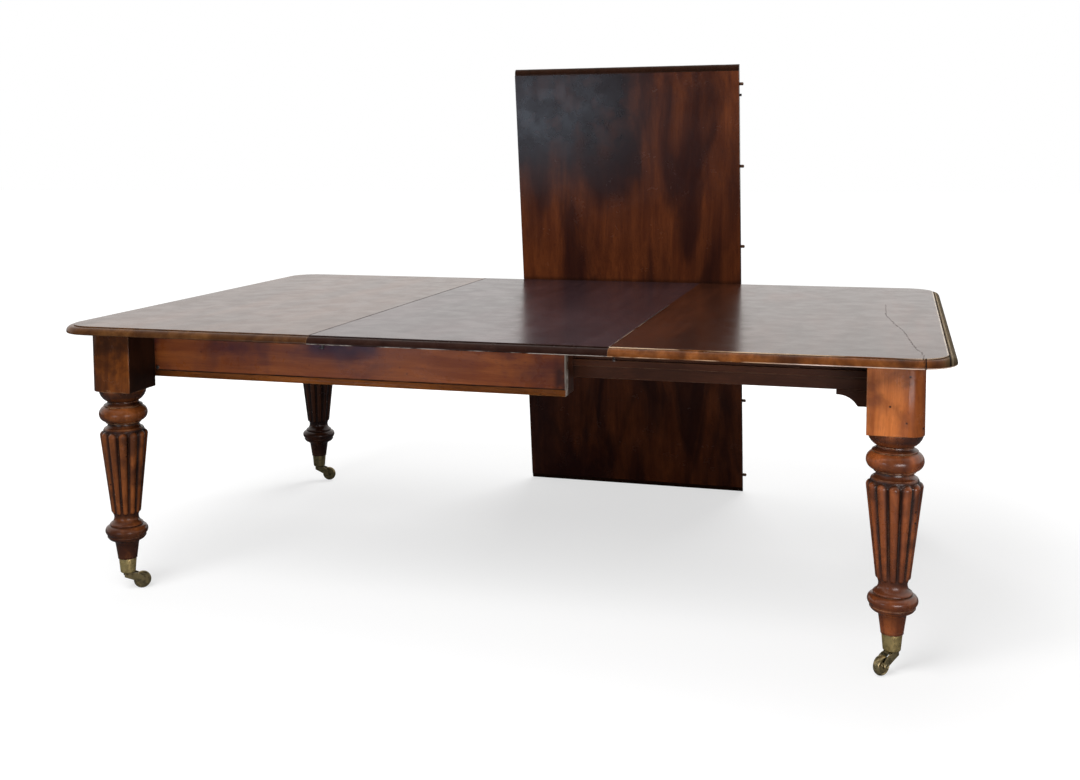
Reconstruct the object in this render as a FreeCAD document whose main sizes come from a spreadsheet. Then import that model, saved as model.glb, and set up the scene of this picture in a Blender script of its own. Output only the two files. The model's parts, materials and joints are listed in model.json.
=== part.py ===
import FreeCAD, Part
import math
import os
import Sketcher
from FreeCAD import Placement, Rotation, Vector

os.makedirs("parts", exist_ok=True)
doc = FreeCAD.newDocument("extending_table")

# ---------------------------------------------------------------- driving dimensions
# Millimetres and degrees. X runs along the table, Y across it, Z up from the floor.
dimensions = {
    # the top: a left section, one loose leaf, a right section
    "table_height": 730, "table_width": 1460,
    "left_length": 728, "leaf_length": 747, "right_length": 753,
    "top_thick": 21, "leaf_lift": 0.3, "corner_radius": 100,
    "quirk_drop": 3, "moulding_run": 19, "thumb_radius": 14, "arris_radius": 2.5,
    # pegs that line the sections up
    "peg_radius": 5, "peg_reach": 11, "peg_root": 24, "peg_tip": 2, "peg_pitch": 267,
    "peg_slack": 0.25, "peg_hole_room": 4, "glue_line": 0.05,
    # iron hooks under the leaves and studs under the right section
    "iron_thick": 3, "hook_wide": 18, "hook_plate": 26, "hook_tongue": 8, "hook_drop": 10,
    "hook_inset": 30, "stud_radius": 3, "stud_head_radius": 5, "stud_long": 9, "stud_inset": 22,
    "stud_set_back": 11, "end_hook_inset": 100, "end_hook_finger": 9, "end_hook_set_back": 4,
    # legs: a square block above a turned and reeded shaft
    "leg_inset": 127, "block_side": 124, "block_corner": 36, "block_foot": 549,
    "pass_gap": 0.5,
    "foot_end": 54, "foot_end_radius": 17.9, "cap_seat": 89, "cap_seat_radius": 20.8,
    "shoe_radius": 25.4, "shoe_top": 96, "ankle_level": 130, "ankle_radius": 30.6,
    "cove_level": 140.5, "cove_radius": 39.5, "skirt_level": 149, "skirt_radius": 49.5,
    "ring_foot": 156.5, "ring_foot_radius": 51.2, "ring_top": 179.5, "ring_top_radius": 47,
    "collar_foot": 180.5, "collar_foot_radius": 42.5, "collar_rim": 187, "collar_rim_radius": 41,
    "waist_level": 203, "waist_radius": 31.8, "core_foot": 212, "core_foot_radius": 33.5,
    "core_top": 441, "core_top_radius": 53, "cup_level": 446, "cup_radius": 50.5,
    "neck_low": 455, "neck_mid": 458.5, "neck_radius": 41,
    "bun_foot": 463.5, "bun_foot_radius": 46.5, "bun_top": 505, "bun_top_radius": 49,
    "fillet_top": 509, "throat_foot": 513, "throat_top": 518, "throat_radius": 40.5,
    "bowl_radius": 61.5,
    # reeds stand round the shaft, thick at the top and thin at the foot
    "reed_count": 12, "reed_foot": 220, "reed_foot_radius": 7.6, "reed_foot_out": 30.9,
    "reed_top": 427, "reed_top_radius": 12.3, "reed_top_out": 49.7,
    # underframe: aprons outside, middle slides inside them, inner rails inside those
    "apron_end": 1330, "apron_thick": 28, "bead_top": 592, "bead_foot": 575, "bead_belly": 2.5,
    "rail_setback": 42, "slide_gap": 0.6, "slide_thick": 53.8, "slide_start": 120,
    "slide_top": 708.4, "inner_thick": 32, "inner_start": 885, "inner_foot": 610,
    "tongue_foot": 640.5, "tongue_high": 17, "tongue_reach": 7.4, "tongue_slack": 0.6,
    "bracket_start": 1966, "bracket_foot": 571, "bracket_lip": 12.5, "bracket_run": 49,
    "bracket_arc": 52, "tenon_thick": 12, "tenon_reach": 36, "tenon_foot": 610, "tenon_top": 690,
    "cross_thick": 40, "right_cross_thick": 32, "cross_foot": 620, "cross_top": 686,
    "batten_high": 20, "batten_set_back": 6, "stretcher_foot": 578, "stretcher_top": 604,
    "stretcher_inset": 4, "cross_inset": 6, "right_cross_inset": 22,
    # fixings
    "bolt_inset": 23, "bolt_low": 614, "bolt_high": 692, "bolt_radius": 4, "bolt_long": 60,
    "bolt_head_radius": 9, "bolt_head_thick": 5, "bolt_head_gap": 1,
    "apron_screw_start": 196, "apron_screw_level": 600, "apron_screw_radius": 3,
    "apron_screw_long": 20, "apron_screw_head": 5.5, "apron_screw_dome": 2,
    "top_screw_pitch": 280, "top_screw_radius": 2.5, "top_screw_head": 5,
    "top_screw_head_thick": 4, "top_screw_foot": 45, "top_screw_bite": 12,
    # brass castors
    "cap_top_radius": 23.2, "cap_foot_radius": 20, "cap_foot": 48.6, "cap_round": 5,
    "cap_slack": 0.1, "cap_lip": 0.4,
    "pin_radius": 4, "pin_head_radius": 6.5, "pin_head_foot": 39.2, "pin_head_top": 42.2,
    "castor_trail": 37, "wheel_radius": 23, "wheel_wide": 16, "wheel_hub_wide": 17,
    "wheel_hub_radius": 7, "wheel_hub_slope": 1.5, "wheel_rim": 1.5, "wheel_bevel": 1,
    "wheel_crown": 3.5, "wheel_dish": 2, "axle_radius": 3, "axle_head_radius": 4.8,
    "axle_head_tip": 3.4, "axle_head_thick": 1.2, "axle_fit": 0.02,
    "running_gap": 0.08, "fork_gap": 0.7, "cheek_thick": 3, "fork_top": 48.2,
    "fork_shoulder": 1.5, "fork_web_foot": 43, "fork_tail": 5, "fork_boss": 11,
    "fork_web_end": 15, "fork_neck": 17, "fork_brow": 32, "fork_mouth": 4,
    "eye_radius": 7.5, "grip_turn": 58, "tail_turn": 215,
    # the spare leaf leans on the far edge
    "lean_angle": 7.9, "lean_gap": 0.3, "lean_rise": 0.35, "spare_start": 860,
}

sheet = doc.addObject("Spreadsheet::Sheet", "dims")
for row, (alias, number) in enumerate(dimensions.items(), 1):
    sheet.set(f"A{row}", alias)
    sheet.set(f"B{row}", str(number))
    sheet.setAlias(f"B{row}", alias)
doc.recompute()


class Size:
    """A length that carries its number and the sheet expression it comes from."""

    def __init__(self, number, text):
        self.number = float(number)
        self.text = text

    def __add__(self, other):
        other = size(other)
        return Size(self.number + other.number, f"({self.text} + {other.text})")

    def __sub__(self, other):
        other = size(other)
        return Size(self.number - other.number, f"({self.text} - {other.text})")

    def __mul__(self, other):
        other = size(other)
        return Size(self.number * other.number, f"({self.text} * {other.text})")

    def __neg__(self):
        return size(0) - self

    __radd__ = __add__
    __rmul__ = __mul__

    def __float__(self):
        return self.number


def size(value):
    """Any number as a Size."""
    if isinstance(value, Size):
        return value
    return Size(value, f"({value:.6f})")


def cell(alias):
    """A driving dimension from the sheet."""
    return Size(sheet.get(alias), f"dims.{alias}")


height = cell("table_height")
half_width = cell("table_width") * 0.5
left_length = cell("left_length")
leaf_length = cell("leaf_length")
right_length = cell("right_length")
table_length = left_length + leaf_length + right_length
underside = height - cell("top_thick")
leg_inset = cell("leg_inset")
half_block = cell("block_side") * 0.5
apron_plane = leg_inset + half_block
slide_plane = apron_plane + cell("apron_thick") + cell("slide_gap")
inner_plane = slide_plane + cell("slide_thick") + cell("slide_gap")
end_rail_inner = leg_inset - cell("rail_setback") + cell("apron_thick")

# The spare leaf: its low end and its back arris are round, and set the depth of the whole.
lean = math.radians(float(cell("lean_angle")))
nose_depth = float(cell("quirk_drop")) + float(cell("thumb_radius"))
spare_lift = float(cell("thumb_radius")) * (1 - math.cos(lean)) - nose_depth * math.sin(lean)
top_nose = float(height) - nose_depth
far_edge = 2 * float(half_width)
spare_foot = (far_edge + float(cell("lean_gap")) / math.cos(lean)
              + (top_nose + float(cell("lean_rise")) - spare_lift) * math.tan(lean))
arris = float(cell("arris_radius"))
leaf_thick = cell("top_thick") - cell("leaf_lift")
whole_depth = (spare_foot + (float(leaf_thick) - arris) * math.cos(lean)
               - arris * math.sin(lean) + arris)

# Bodies are drawn from the left end and from the table's centre line; this carries them home.
home = Vector(-float(table_length) / 2, float(half_width) - whole_depth / 2, 0)
nodes = []


def keep(thing, name, place=None):
    """Names a finished sub-part and sets it in the table's frame."""
    thing.Label = name
    if place is not None:
        thing.Placement = place
    nodes.append(thing)
    return thing


def moved(x=0, y=0, z=0, turn=None):
    """A placement in the table's frame."""
    return Placement(home + Vector(float(x), float(y), float(z)), turn or Rotation())


# ---------------------------------------------------------------- sketch helpers
def plane_of(body, role):
    for feature in body.Origin.OriginFeatures:
        if feature.Role == role:
            return feature
    raise ValueError(role)


def new_sketch(body, name, role, offset=None):
    sketch = body.newObject("Sketcher::SketchObject", name)
    sketch.AttachmentSupport = [(plane_of(body, role), "")]
    sketch.MapMode = "FlatFace"
    if offset is not None:
        sketch.AttachmentOffset = offset
    return sketch


def pin_point(sketch, shape, point, x, y):
    """Dimensions one point of a sketch from the origin."""
    for kind, value, axis in (("DistanceX", x, -2), ("DistanceY", y, -1)):
        if abs(float(value)) < 1e-9:
            sketch.addConstraint(Sketcher.Constraint("PointOnObject", shape, point, axis))
            continue
        index = sketch.addConstraint(
            Sketcher.Constraint(kind, -1, 1, shape, point, float(value)))
        if "dims." in value.text:
            sketch.setExpression(f"Constraints[{index}]", value.text)


def arc_between(start, end, radius):
    """A round stretch from start to end; a positive radius bulges to the right of travel."""
    chord = end - start
    half = chord.Length / 2
    left = Vector(-chord.y, chord.x, 0).normalize()
    rise = math.sqrt(max(radius * radius - half * half, 0))
    centre = (start + end) * 0.5 + left * math.copysign(rise, radius)
    begin = math.atan2(start.y - centre.y, start.x - centre.x)
    stop = math.atan2(end.y - centre.y, end.x - centre.x)
    circle = Part.Circle(centre, Vector(0, 0, 1), abs(radius))
    if radius > 0:
        return Part.ArcOfCircle(circle, begin, stop if stop > begin else stop + 2 * math.pi)
    return Part.ArcOfCircle(circle, stop, begin if begin > stop else begin + 2 * math.pi)


def outline(sketch, corners):
    """A closed outline. A corner is (x, y) or (x, y, radius of the stretch that leaves it)."""
    corners = [tuple(size(value) for value in corner) for corner in corners]
    points = [Vector(float(corner[0]), float(corner[1]), 0) for corner in corners]
    ends = []
    for index, corner in enumerate(corners):
        start, end = points[index], points[(index + 1) % len(points)]
        if len(corner) == 2:
            shape = sketch.addGeometry(Part.LineSegment(start, end))
            ends.append((shape, 1, 2))
            continue
        shape = sketch.addGeometry(arc_between(start, end, float(corner[2])))
        ends.append((shape, 1, 2) if float(corner[2]) > 0 else (shape, 2, 1))
    for index, (shape, first, last) in enumerate(ends):
        following, point, _ = ends[(index + 1) % len(ends)]
        sketch.addConstraint(Sketcher.Constraint("Coincident", shape, last, following, point))
    for (shape, first, last), corner in zip(ends, corners):
        pin_point(sketch, shape, first, corner[0], corner[1])
        if len(corner) == 3:
            radius = corner[2] if float(corner[2]) > 0 else -corner[2]
            index = sketch.addConstraint(
                Sketcher.Constraint("Radius", shape, float(radius)))
            if "dims." in radius.text:
                sketch.setExpression(f"Constraints[{index}]", radius.text)


def circle_row(sketch, centres, radius):
    """Equal circles at the given centres."""
    for x, y in centres:
        x, y = size(x), size(y)
        shape = sketch.addGeometry(
            Part.Circle(Vector(float(x), float(y), 0), Vector(0, 0, 1), float(radius)))
        pin_point(sketch, shape, 3, x, y)
        index = sketch.addConstraint(Sketcher.Constraint("Radius", shape, float(radius)))
        sketch.setExpression(f"Constraints[{index}]", radius.text)


# ---------------------------------------------------------------- feature helpers
def pad(body, name, sketch, length):
    feature = body.newObject("PartDesign::Pad", name)
    feature.Profile = sketch
    feature.setExpression("Length", length.text)
    return feature


def pocket(body, name, sketch, length, forward=False):
    """A pocket, checked to have taken something away."""
    doc.recompute()
    before = body.Shape.Volume
    feature = body.newObject("PartDesign::Pocket", name)
    feature.Profile = sketch
    feature.setExpression("Length", length.text)
    feature.Reversed = forward
    doc.recompute()
    if body.Shape.Volume > before - 1:
        raise RuntimeError(f"{name} cuts nothing")
    return feature


def turn_round(body, name, sketch):
    feature = body.newObject("PartDesign::Revolution", name)
    feature.Profile = sketch
    feature.ReferenceAxis = (sketch, ["V_Axis"])
    feature.Angle = 360
    return feature


def round_edges(body, name, base, radius, chosen):
    """Fillets the edges of base for which chosen(edge) is true."""
    doc.recompute()
    names = [f"Edge{index}" for index, edge in enumerate(base.Shape.Edges, 1) if chosen(edge)]
    feature = body.newObject("PartDesign::Fillet", name)
    feature.Base = (base, names)
    feature.setExpression("Radius", radius.text)
    return feature


def box(x, y, z, long, wide, high):
    """A block from its lowest corner, in the drawing frame."""
    block = doc.addObject("Part::Box", "Block")
    for side, value in (("Length", long), ("Width", wide), ("Height", high)):
        block.setExpression(side, size(value).text)
    block.Placement = Placement(Vector(float(x), float(y), float(z)), Rotation())
    return block


def rod(radius, length, base, direction):
    """A round rod from base along direction."""
    bar = doc.addObject("Part::Cylinder", "Rod")
    bar.setExpression("Radius", size(radius).text)
    bar.setExpression("Height", size(length).text)
    bar.Placement = Placement(base, Rotation(Vector(0, 0, 1), direction))
    return bar


def taper(radius, end_radius, length, base, direction):
    """A cone frustum from base along direction."""
    cone = doc.addObject("Part::Cone", "Taper")
    cone.setExpression("Radius1", size(radius).text)
    cone.setExpression("Radius2", size(end_radius).text)
    cone.setExpression("Height", size(length).text)
    cone.Placement = Placement(base, Rotation(Vector(0, 0, 1), direction))
    return cone


def joined(shapes):
    union = doc.addObject("Part::MultiFuse", "Union")
    union.Shapes = shapes
    return union


def grouped(shapes):
    group = doc.addObject("Part::Compound", "Group")
    group.Links = shapes
    return group


def slab_body(name, role, corners, length):
    """A body that is one outline padded by one length."""
    body = doc.addObject("PartDesign::Body", name)
    sketch = new_sketch(body, f"{name}_outline", role)
    outline(sketch, corners)
    pad(body, f"{name}_pad", sketch, length)
    return body


# ---------------------------------------------------------------- the top
def board_corners(length, inset, round_left, round_right):
    """The plan of one section: inset from its moulded edges, square at its joints."""
    radius = cell("corner_radius") - inset
    left = size(inset) if round_left else size(0)
    right = length - inset if round_right else length
    edge = half_width - inset
    corners = []
    if round_left:
        corners += [(left, radius - edge, radius), (left + radius, -edge)]
    else:
        corners += [(left, -edge)]
    if round_right:
        corners += [(right - radius, -edge, radius), (right, radius - edge)]
        corners += [(right, edge - radius, radius), (right - radius, edge)]
    else:
        corners += [(right, -edge), (right, edge)]
    if round_left:
        corners += [(left + radius, edge, radius), (left, edge - radius)]
    else:
        corners += [(left, edge)]
    return corners


def peg_levels():
    """Places of the pegs along a joint, from the centre line."""
    return [cell("peg_pitch") * step for step in (-2.5, -1.5, -0.5, 0.5, 1.5, 2.5)]


def board(name, length, thick, round_left=False, round_right=False, pegs_right=True):
    """One section of the top, lying with its underside at z = 0 and its left joint at x = 0."""
    body = doc.addObject("PartDesign::Body", name)
    nose = new_sketch(body, f"{name}_nose", "XY_Plane")
    outline(nose, board_corners(length, size(0), round_left, round_right))
    lower = pad(body, f"{name}_lower", nose, thick - cell("quirk_drop"))
    doc.recompute()
    top_level = float(thick - cell("quirk_drop"))

    def on_moulding(edge, level):
        """An edge at this level that isn't along a joint."""
        box_of = edge.BoundBox
        flat = abs(box_of.ZMin - level) < 1e-6 and abs(box_of.ZMax - level) < 1e-6
        at_left = box_of.XMax < 1e-6 and not round_left
        at_right = box_of.XMin > float(length) - 1e-6 and not round_right
        return flat and not at_left and not at_right

    thumb = round_edges(body, f"{name}_thumb", lower, cell("thumb_radius"),
                        lambda edge: on_moulding(edge, top_level))
    round_edges(body, f"{name}_arris", thumb, cell("arris_radius"),
                lambda edge: on_moulding(edge, 0))
    face = new_sketch(body, f"{name}_face", "XY_Plane",
                      Placement(Vector(0, 0, top_level - 1), Rotation()))
    outline(face, board_corners(length, cell("moulding_run"), round_left, round_right))
    pad(body, f"{name}_upper", face, cell("quirk_drop") + 1)
    middle = thick * 0.5
    rows = []
    if not round_left:
        deep = cell("peg_reach") + cell("peg_hole_room")
        rows.append(("left", size(0), deep, cell("peg_slack"), True))
    if pegs_right:
        rows.append(("right", length, cell("peg_root"), cell("glue_line"), False))
    for side, x, deep, slack, forward in rows:
        holes = new_sketch(body, f"{name}_{side}_holes", "YZ_Plane",
                           Placement(Vector(0, 0, float(x)), Rotation()))
        circle_row(holes, [(y, middle) for y in peg_levels()], cell("peg_radius") + slack)
        pocket(body, f"{name}_{side}_drilled", holes, deep, forward)
    return body


def peg_row(x, z):
    """Six pegs let into a joint at x, standing out towards +X."""
    pegs = []
    for level in peg_levels():
        root = Vector(float(x) - float(cell("peg_root")), float(level), float(z))
        tip = root + Vector(float(cell("peg_root")) + float(cell("peg_reach")), 0, 0)
        shank = rod(cell("peg_radius"), cell("peg_root") + cell("peg_reach"), root, Vector(1, 0, 0))
        nib = taper(cell("peg_radius"), cell("peg_radius") - cell("peg_tip"), cell("peg_tip"),
                    tip, Vector(1, 0, 0))
        pegs.append(joined([shank, nib]))
    return grouped(pegs)


def make_top():
    level = underside
    keep(board("left_top", left_length, cell("top_thick"), round_left=True),
         "left_top", moved(0, 0, level))
    keep(board("right_top", right_length, cell("top_thick"), round_right=True, pegs_right=False),
         "right_top", moved(left_length + leaf_length, 0, level))
    keep(peg_row(left_length, underside + cell("top_thick") * 0.5), "left_top_pegs", moved())
    keep(board("fitted_leaf", leaf_length, leaf_thick), "fitted_leaf",
         moved(left_length, 0, level + cell("leaf_lift")))
    keep(peg_row(left_length + leaf_length, underside + cell("leaf_lift") + leaf_thick * 0.5),
         "fitted_leaf_pegs", moved())


def make_spare_leaf():
    """The spare leaf stands on its end behind the table, polished face forward."""
    # The leaf's own Y becomes the way up, and its underside turns to the back.
    upright = Rotation(Vector(1, 0, 0), 90 + float(cell("lean_angle")))
    up = upright.multVec(Vector(0, 1, 0))
    back = -upright.multVec(Vector(0, 0, 1))
    corner = Vector(float(cell("spare_start")), spare_foot - float(half_width), spare_lift)
    centre = corner + up * float(half_width) + back * float(leaf_thick)
    place = Placement(home + centre, upright)
    keep(board("spare_leaf", leaf_length, leaf_thick), "spare_leaf", place)
    keep(peg_row(leaf_length, leaf_thick * 0.5), "spare_leaf_pegs", place)
    hook = Vector(float(leaf_length - cell("end_hook_set_back")),
                  float(half_width - cell("end_hook_inset")), 0)
    keep(end_hook(), "spare_leaf_hook", place.multiply(Placement(hook, Rotation())))


def end_hook():
    """A bent iron hook under a board: a plate, a drop, and a finger out past the joint."""
    thick, tongue = cell("iron_thick"), cell("hook_tongue")
    deep = thick * 3
    plate = box(-cell("hook_plate"), cell("hook_wide") * -0.5, -thick,
                cell("hook_plate"), cell("hook_wide"), thick)
    drop = box(0, tongue * -0.5, -deep, thick, tongue, deep)
    finger = box(0, tongue * -0.5, -deep, cell("end_hook_finger"), tongue, thick)
    return joined([plate, drop, finger])


def make_joint_hooks():
    """Hooks under the fitted leaf by the left joint, and studs under the right section."""
    thick, tongue, reach = cell("iron_thick"), cell("hook_tongue"), cell("hook_inset")
    deep = thick + cell("hook_drop")
    pairs, studs = [], []
    for side in (-1, 1):
        y = (half_width - cell("hook_inset")) * side
        plate = box(reach, y - cell("hook_wide") * 0.5, -thick,
                    cell("hook_plate"), cell("hook_wide"), thick)
        drop = box(reach, y - tongue * 0.5, -deep, thick, tongue, deep)
        toe = box(reach - tongue, y - tongue * 0.5, -deep, tongue + thick, tongue, thick)
        pairs.append(joined([plate, drop, toe]))
        foot = Vector(float(cell("stud_set_back")), float((half_width - cell("stud_inset")) * side),
                      -float(cell("stud_long")))
        up = Vector(0, 0, 1)
        shank = rod(cell("stud_radius"), cell("stud_long"), foot, up)
        head = rod(cell("stud_head_radius"), thick, foot - up * float(thick), up)
        studs.append(joined([shank, head]))
    keep(grouped(pairs), "fitted_leaf_hooks",
         moved(left_length, 0, underside + cell("leaf_lift")))
    keep(grouped(studs), "right_top_studs", moved(left_length + leaf_length, 0, underside))


# ---------------------------------------------------------------- underframe
def side_y(side, offset):
    """Distance across the table from its centre line, for the front (-1) or the back (+1)."""
    return (half_width - offset) * side


def section(side, spans):
    """Corners across a rail, given as (offset from the outer edge, level[, radius])."""
    corners = []
    for span in spans:
        corner = (side_y(side, size(span[0])), size(span[1]))
        if len(span) == 3:
            corner += (size(span[2]) * -side,)
        corners.append(corner)
    return corners


def apron(name, side):
    """A long outer rail of the left half, grooved inside for the middle slide's tongue."""
    face, back = apron_plane, apron_plane + cell("apron_thick")
    low = cell("tongue_foot") - cell("tongue_slack")
    high = cell("tongue_foot") + cell("tongue_high") + cell("tongue_slack")
    deep = back - cell("tongue_reach") - cell("tongue_slack") + cell("slide_gap")
    corners = section(side, [(face, cell("bead_top")), (back, cell("bead_top")), (back, low),
                             (deep, low), (deep, high), (back, high), (back, underside),
                             (face, underside)])
    body = slab_body(name, "YZ_Plane", corners, cell("apron_end") - end_rail_inner)
    keep(body, name, moved(end_rail_inner))


def bead_corners(side):
    """The bead strip under an apron: flat behind, with a round belly in front."""
    face, back = apron_plane, apron_plane + cell("apron_thick")
    set_in = face + cell("bead_belly")
    tall = float(cell("bead_top")) - float(cell("bead_foot"))
    belly = float(cell("bead_belly"))
    radius = (tall * tall / 4 + belly * belly) / (2 * belly)
    return section(side, [(set_in, cell("bead_foot")), (back, cell("bead_foot")),
                          (back, cell("bead_top")), (set_in, cell("bead_top"), -radius)])


def middle_slide(name, side):
    """A sliding bearer: a tongue outside, a groove inside."""
    face, back = slide_plane, slide_plane + cell("slide_thick")
    foot, top = cell("tongue_foot"), cell("tongue_foot") + cell("tongue_high")
    low, high = foot - cell("tongue_slack"), top + cell("tongue_slack")
    deep = back - cell("tongue_reach") - cell("tongue_slack") + cell("slide_gap")
    corners = section(side, [(face, cell("bead_foot")), (back, cell("bead_foot")), (back, low),
                             (deep, low), (deep, high), (back, high), (back, cell("slide_top")),
                             (face, cell("slide_top")), (face, top),
                             (face - cell("tongue_reach"), top),
                             (face - cell("tongue_reach"), foot), (face, foot)])
    body = slab_body(name, "YZ_Plane", corners, cell("apron_end") - cell("slide_start"))
    keep(body, name, moved(cell("slide_start")))


def inner_rail(name, side):
    """An inner rail of the right half, with the tongue that runs in the middle slide."""
    face, back = inner_plane, inner_plane + cell("inner_thick")
    foot, top = cell("tongue_foot"), cell("tongue_foot") + cell("tongue_high")
    corners = section(side, [(face, cell("inner_foot")), (back, cell("inner_foot")),
                             (back, cell("slide_top")), (face, cell("slide_top")), (face, top),
                             (face - cell("tongue_reach"), top),
                             (face - cell("tongue_reach"), foot), (face, foot)])
    body = slab_body(name, "YZ_Plane", corners,
                     table_length - end_rail_inner - cell("inner_start"))
    keep(body, name, moved(cell("inner_start")))


def bracket(name, side):
    """The shaped bracket under an inner rail, beside the right leg."""
    x, run = cell("bracket_start"), cell("bracket_run")
    lip = cell("inner_foot") - cell("bracket_lip")
    corners = [(x, lip, -cell("bracket_arc")), (x + run, cell("bracket_foot")),
               (table_length - end_rail_inner, cell("bracket_foot")),
               (table_length - end_rail_inner, cell("inner_foot")), (x, cell("inner_foot"))]
    body = slab_body(name, "XZ_Plane", corners, cell("inner_thick"))
    near = -float(half_width) + float(inner_plane) + float(cell("inner_thick"))
    # The outline is padded towards -Y, so its back face gives the place.
    y = near if side < 0 else float(half_width) - float(inner_plane)
    keep(body, name, moved(0, y, 0))


def end_rail(name, x):
    """The rail between the two legs of one end, with a tenon into each block."""
    span = (half_width - apron_plane) * 2
    board_ = box(x, -(span * 0.5), cell("bead_top"), cell("apron_thick"), span,
                 underside - cell("bead_top"))
    shift = (float(cell("apron_thick")) - float(cell("tenon_thick"))) / 2
    long = span + cell("tenon_reach") * 2
    tenon = box(float(x) + shift, -(long * 0.5), cell("tenon_foot"), cell("tenon_thick"), long,
                cell("tenon_top") - cell("tenon_foot"))
    keep(joined([board_, tenon]), name, moved())


def end_bead(name, x, outward):
    """The bead strip under an end rail."""
    span = (half_width - apron_plane) * 2
    belly, tall = float(cell("bead_belly")), float(cell("bead_top")) - float(cell("bead_foot"))
    radius = size((tall * tall / 4 + belly * belly) / (2 * belly))
    outer = x if outward < 0 else x + cell("apron_thick")
    inner = x + cell("apron_thick") if outward < 0 else x
    set_in = outer - cell("bead_belly") * outward
    corners = [(set_in, cell("bead_foot")), (inner, cell("bead_foot")),
               (inner, cell("bead_top")), (set_in, cell("bead_top"), radius * outward)]
    body = slab_body(name, "XZ_Plane", corners, span)
    keep(body, name, moved(0, span * 0.5, 0))


def make_underframe():
    for word, side in (("front", -1), ("back", 1)):
        apron(f"{word}_apron", side)
        bead = slab_body(f"{word}_apron_bead", "YZ_Plane", bead_corners(side),
                         cell("apron_end") - end_rail_inner)
        keep(bead, f"{word}_apron_bead", moved(end_rail_inner))
        middle_slide(f"{word}_middle_slide", side)
        inner_rail(f"{word}_inner_rail", side)
        bracket(f"{word}_bracket", side)
    left_rail = leg_inset - cell("rail_setback")
    right_rail = table_length - end_rail_inner
    end_rail("left_end_rail", left_rail)
    end_bead("left_end_bead", left_rail, -1)
    end_rail("right_end_rail", right_rail)
    end_bead("right_end_bead", right_rail, 1)

    between_slides = (half_width - slide_plane - cell("slide_thick")) * 2
    between_rails = (half_width - inner_plane - cell("inner_thick")) * 2
    cross = cell("cross_thick")
    cross_rail("middle_cross_rail", cell("slide_start") + cell("stretcher_inset"), cross,
               between_slides, cell("stretcher_foot"), cell("stretcher_top"))
    cross_rail("inner_cross_rail", cell("inner_start") + cell("cross_inset"), cross,
               between_rails, cell("cross_foot"), cell("cross_top"))
    cross_rail("right_cross_rail", left_length + leaf_length + cell("right_cross_inset"),
               cell("right_cross_thick"), between_rails, cell("cross_foot"), underside)
    set_back = cell("batten_set_back")
    cross_rail("left_top_batten", left_length - cross - set_back, cross,
               between_rails - set_back * 2, underside - cell("batten_high"), underside)


def cross_rail(name, x, thick, span, foot, top):
    """A rail across the table, centred on its centre line."""
    keep(box(0, -(span * 0.5), 0, thick, span, top - foot), name,
         Placement(home + Vector(float(x), -float(span) / 2, float(foot)), Rotation()))


def make_fixings():
    """Bolts, sunk in the aprons, that hold the left legs, and screws in the aprons and the top."""
    c = cell
    bolts, apron_screws = [], []
    bolt_x = float(leg_inset + c("bolt_inset"))
    apron_back = float(half_width - apron_plane - c("apron_thick"))
    apron_face = float(half_width - apron_plane)
    head_gap, head_thick = float(c("bolt_head_gap")), float(c("bolt_head_thick"))
    for side in (-1, 1):
        outward, inward = Vector(0, side, 0), Vector(0, -side, 0)
        for level in (c("bolt_low"), c("bolt_high")):
            start = Vector(bolt_x, side * (apron_back + head_gap), float(level))
            head = rod(c("bolt_head_radius"), c("bolt_head_thick"), start, outward)
            shank = rod(c("bolt_radius"), c("bolt_long"), start + outward * head_thick, outward)
            bolts.append(joined([head, shank]))
        place = Vector(float(c("apron_screw_start")), side * apron_face,
                       float(c("apron_screw_level")))
        shank = rod(c("apron_screw_radius"), c("apron_screw_long"), place, inward)
        dome = taper(c("apron_screw_head"), c("apron_screw_head") * 0.7, c("apron_screw_dome"),
                     place, outward)
        apron_screws.append(joined([shank, dome]))
    keep(grouped(bolts), "left_leg_bolts", moved())
    keep(grouped(apron_screws), "apron_corner_screws", moved())

    up = Vector(0, 0, 1)
    long = c("top_screw_foot") + c("top_screw_bite")
    for word, rail in (("left", leg_inset - c("rail_setback")),
                       ("right", table_length - end_rail_inner)):
        screws = []
        for step in (-1.5, -0.5, 0.5, 1.5):
            foot = Vector(float(rail + c("apron_thick") * 0.5), float(c("top_screw_pitch")) * step,
                          float(underside - c("top_screw_foot")))
            screws.append(joined([rod(c("top_screw_head"), c("top_screw_head_thick"), foot, up),
                                  rod(c("top_screw_radius"), long, foot, up)]))
        keep(grouped(screws), f"{word}_top_screws", moved())


# ---------------------------------------------------------------- legs
def leg_profile():
    """The turned outline, from the foot inside the castor's cap up to the block."""
    c = cell
    return [
        (0, c("foot_end")), (c("foot_end_radius"), c("foot_end")),
        (c("cap_seat_radius"), c("cap_seat")), (c("shoe_radius"), c("cap_seat"), 4.2),
        (c("shoe_radius"), c("shoe_top")), (c("ankle_radius"), c("ankle_level"), -13),
        (c("cove_radius"), c("cove_level"), 14), (c("skirt_radius"), c("skirt_level")),
        (c("ring_foot_radius"), c("ring_foot"), 13.9), (c("ring_top_radius"), c("ring_top")),
        (c("collar_foot_radius"), c("collar_foot")), (c("collar_rim_radius"), c("collar_rim"), -18),
        (c("waist_radius"), c("waist_level")), (c("core_foot_radius"), c("core_foot")),
        (c("core_top_radius"), c("core_top")), (c("cup_radius"), c("cup_level"), -12),
        (c("neck_radius"), c("neck_low")), (c("neck_radius"), c("neck_mid")),
        (c("bun_foot_radius"), c("bun_foot"), 21.8), (c("bun_top_radius"), c("bun_top")),
        (c("bun_top_radius"), c("fillet_top")), (c("throat_radius"), c("throat_foot")),
        (c("throat_radius"), c("throat_top"), 38), (c("bowl_radius"), c("block_foot")),
        (0, c("block_foot")),
    ]


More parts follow.
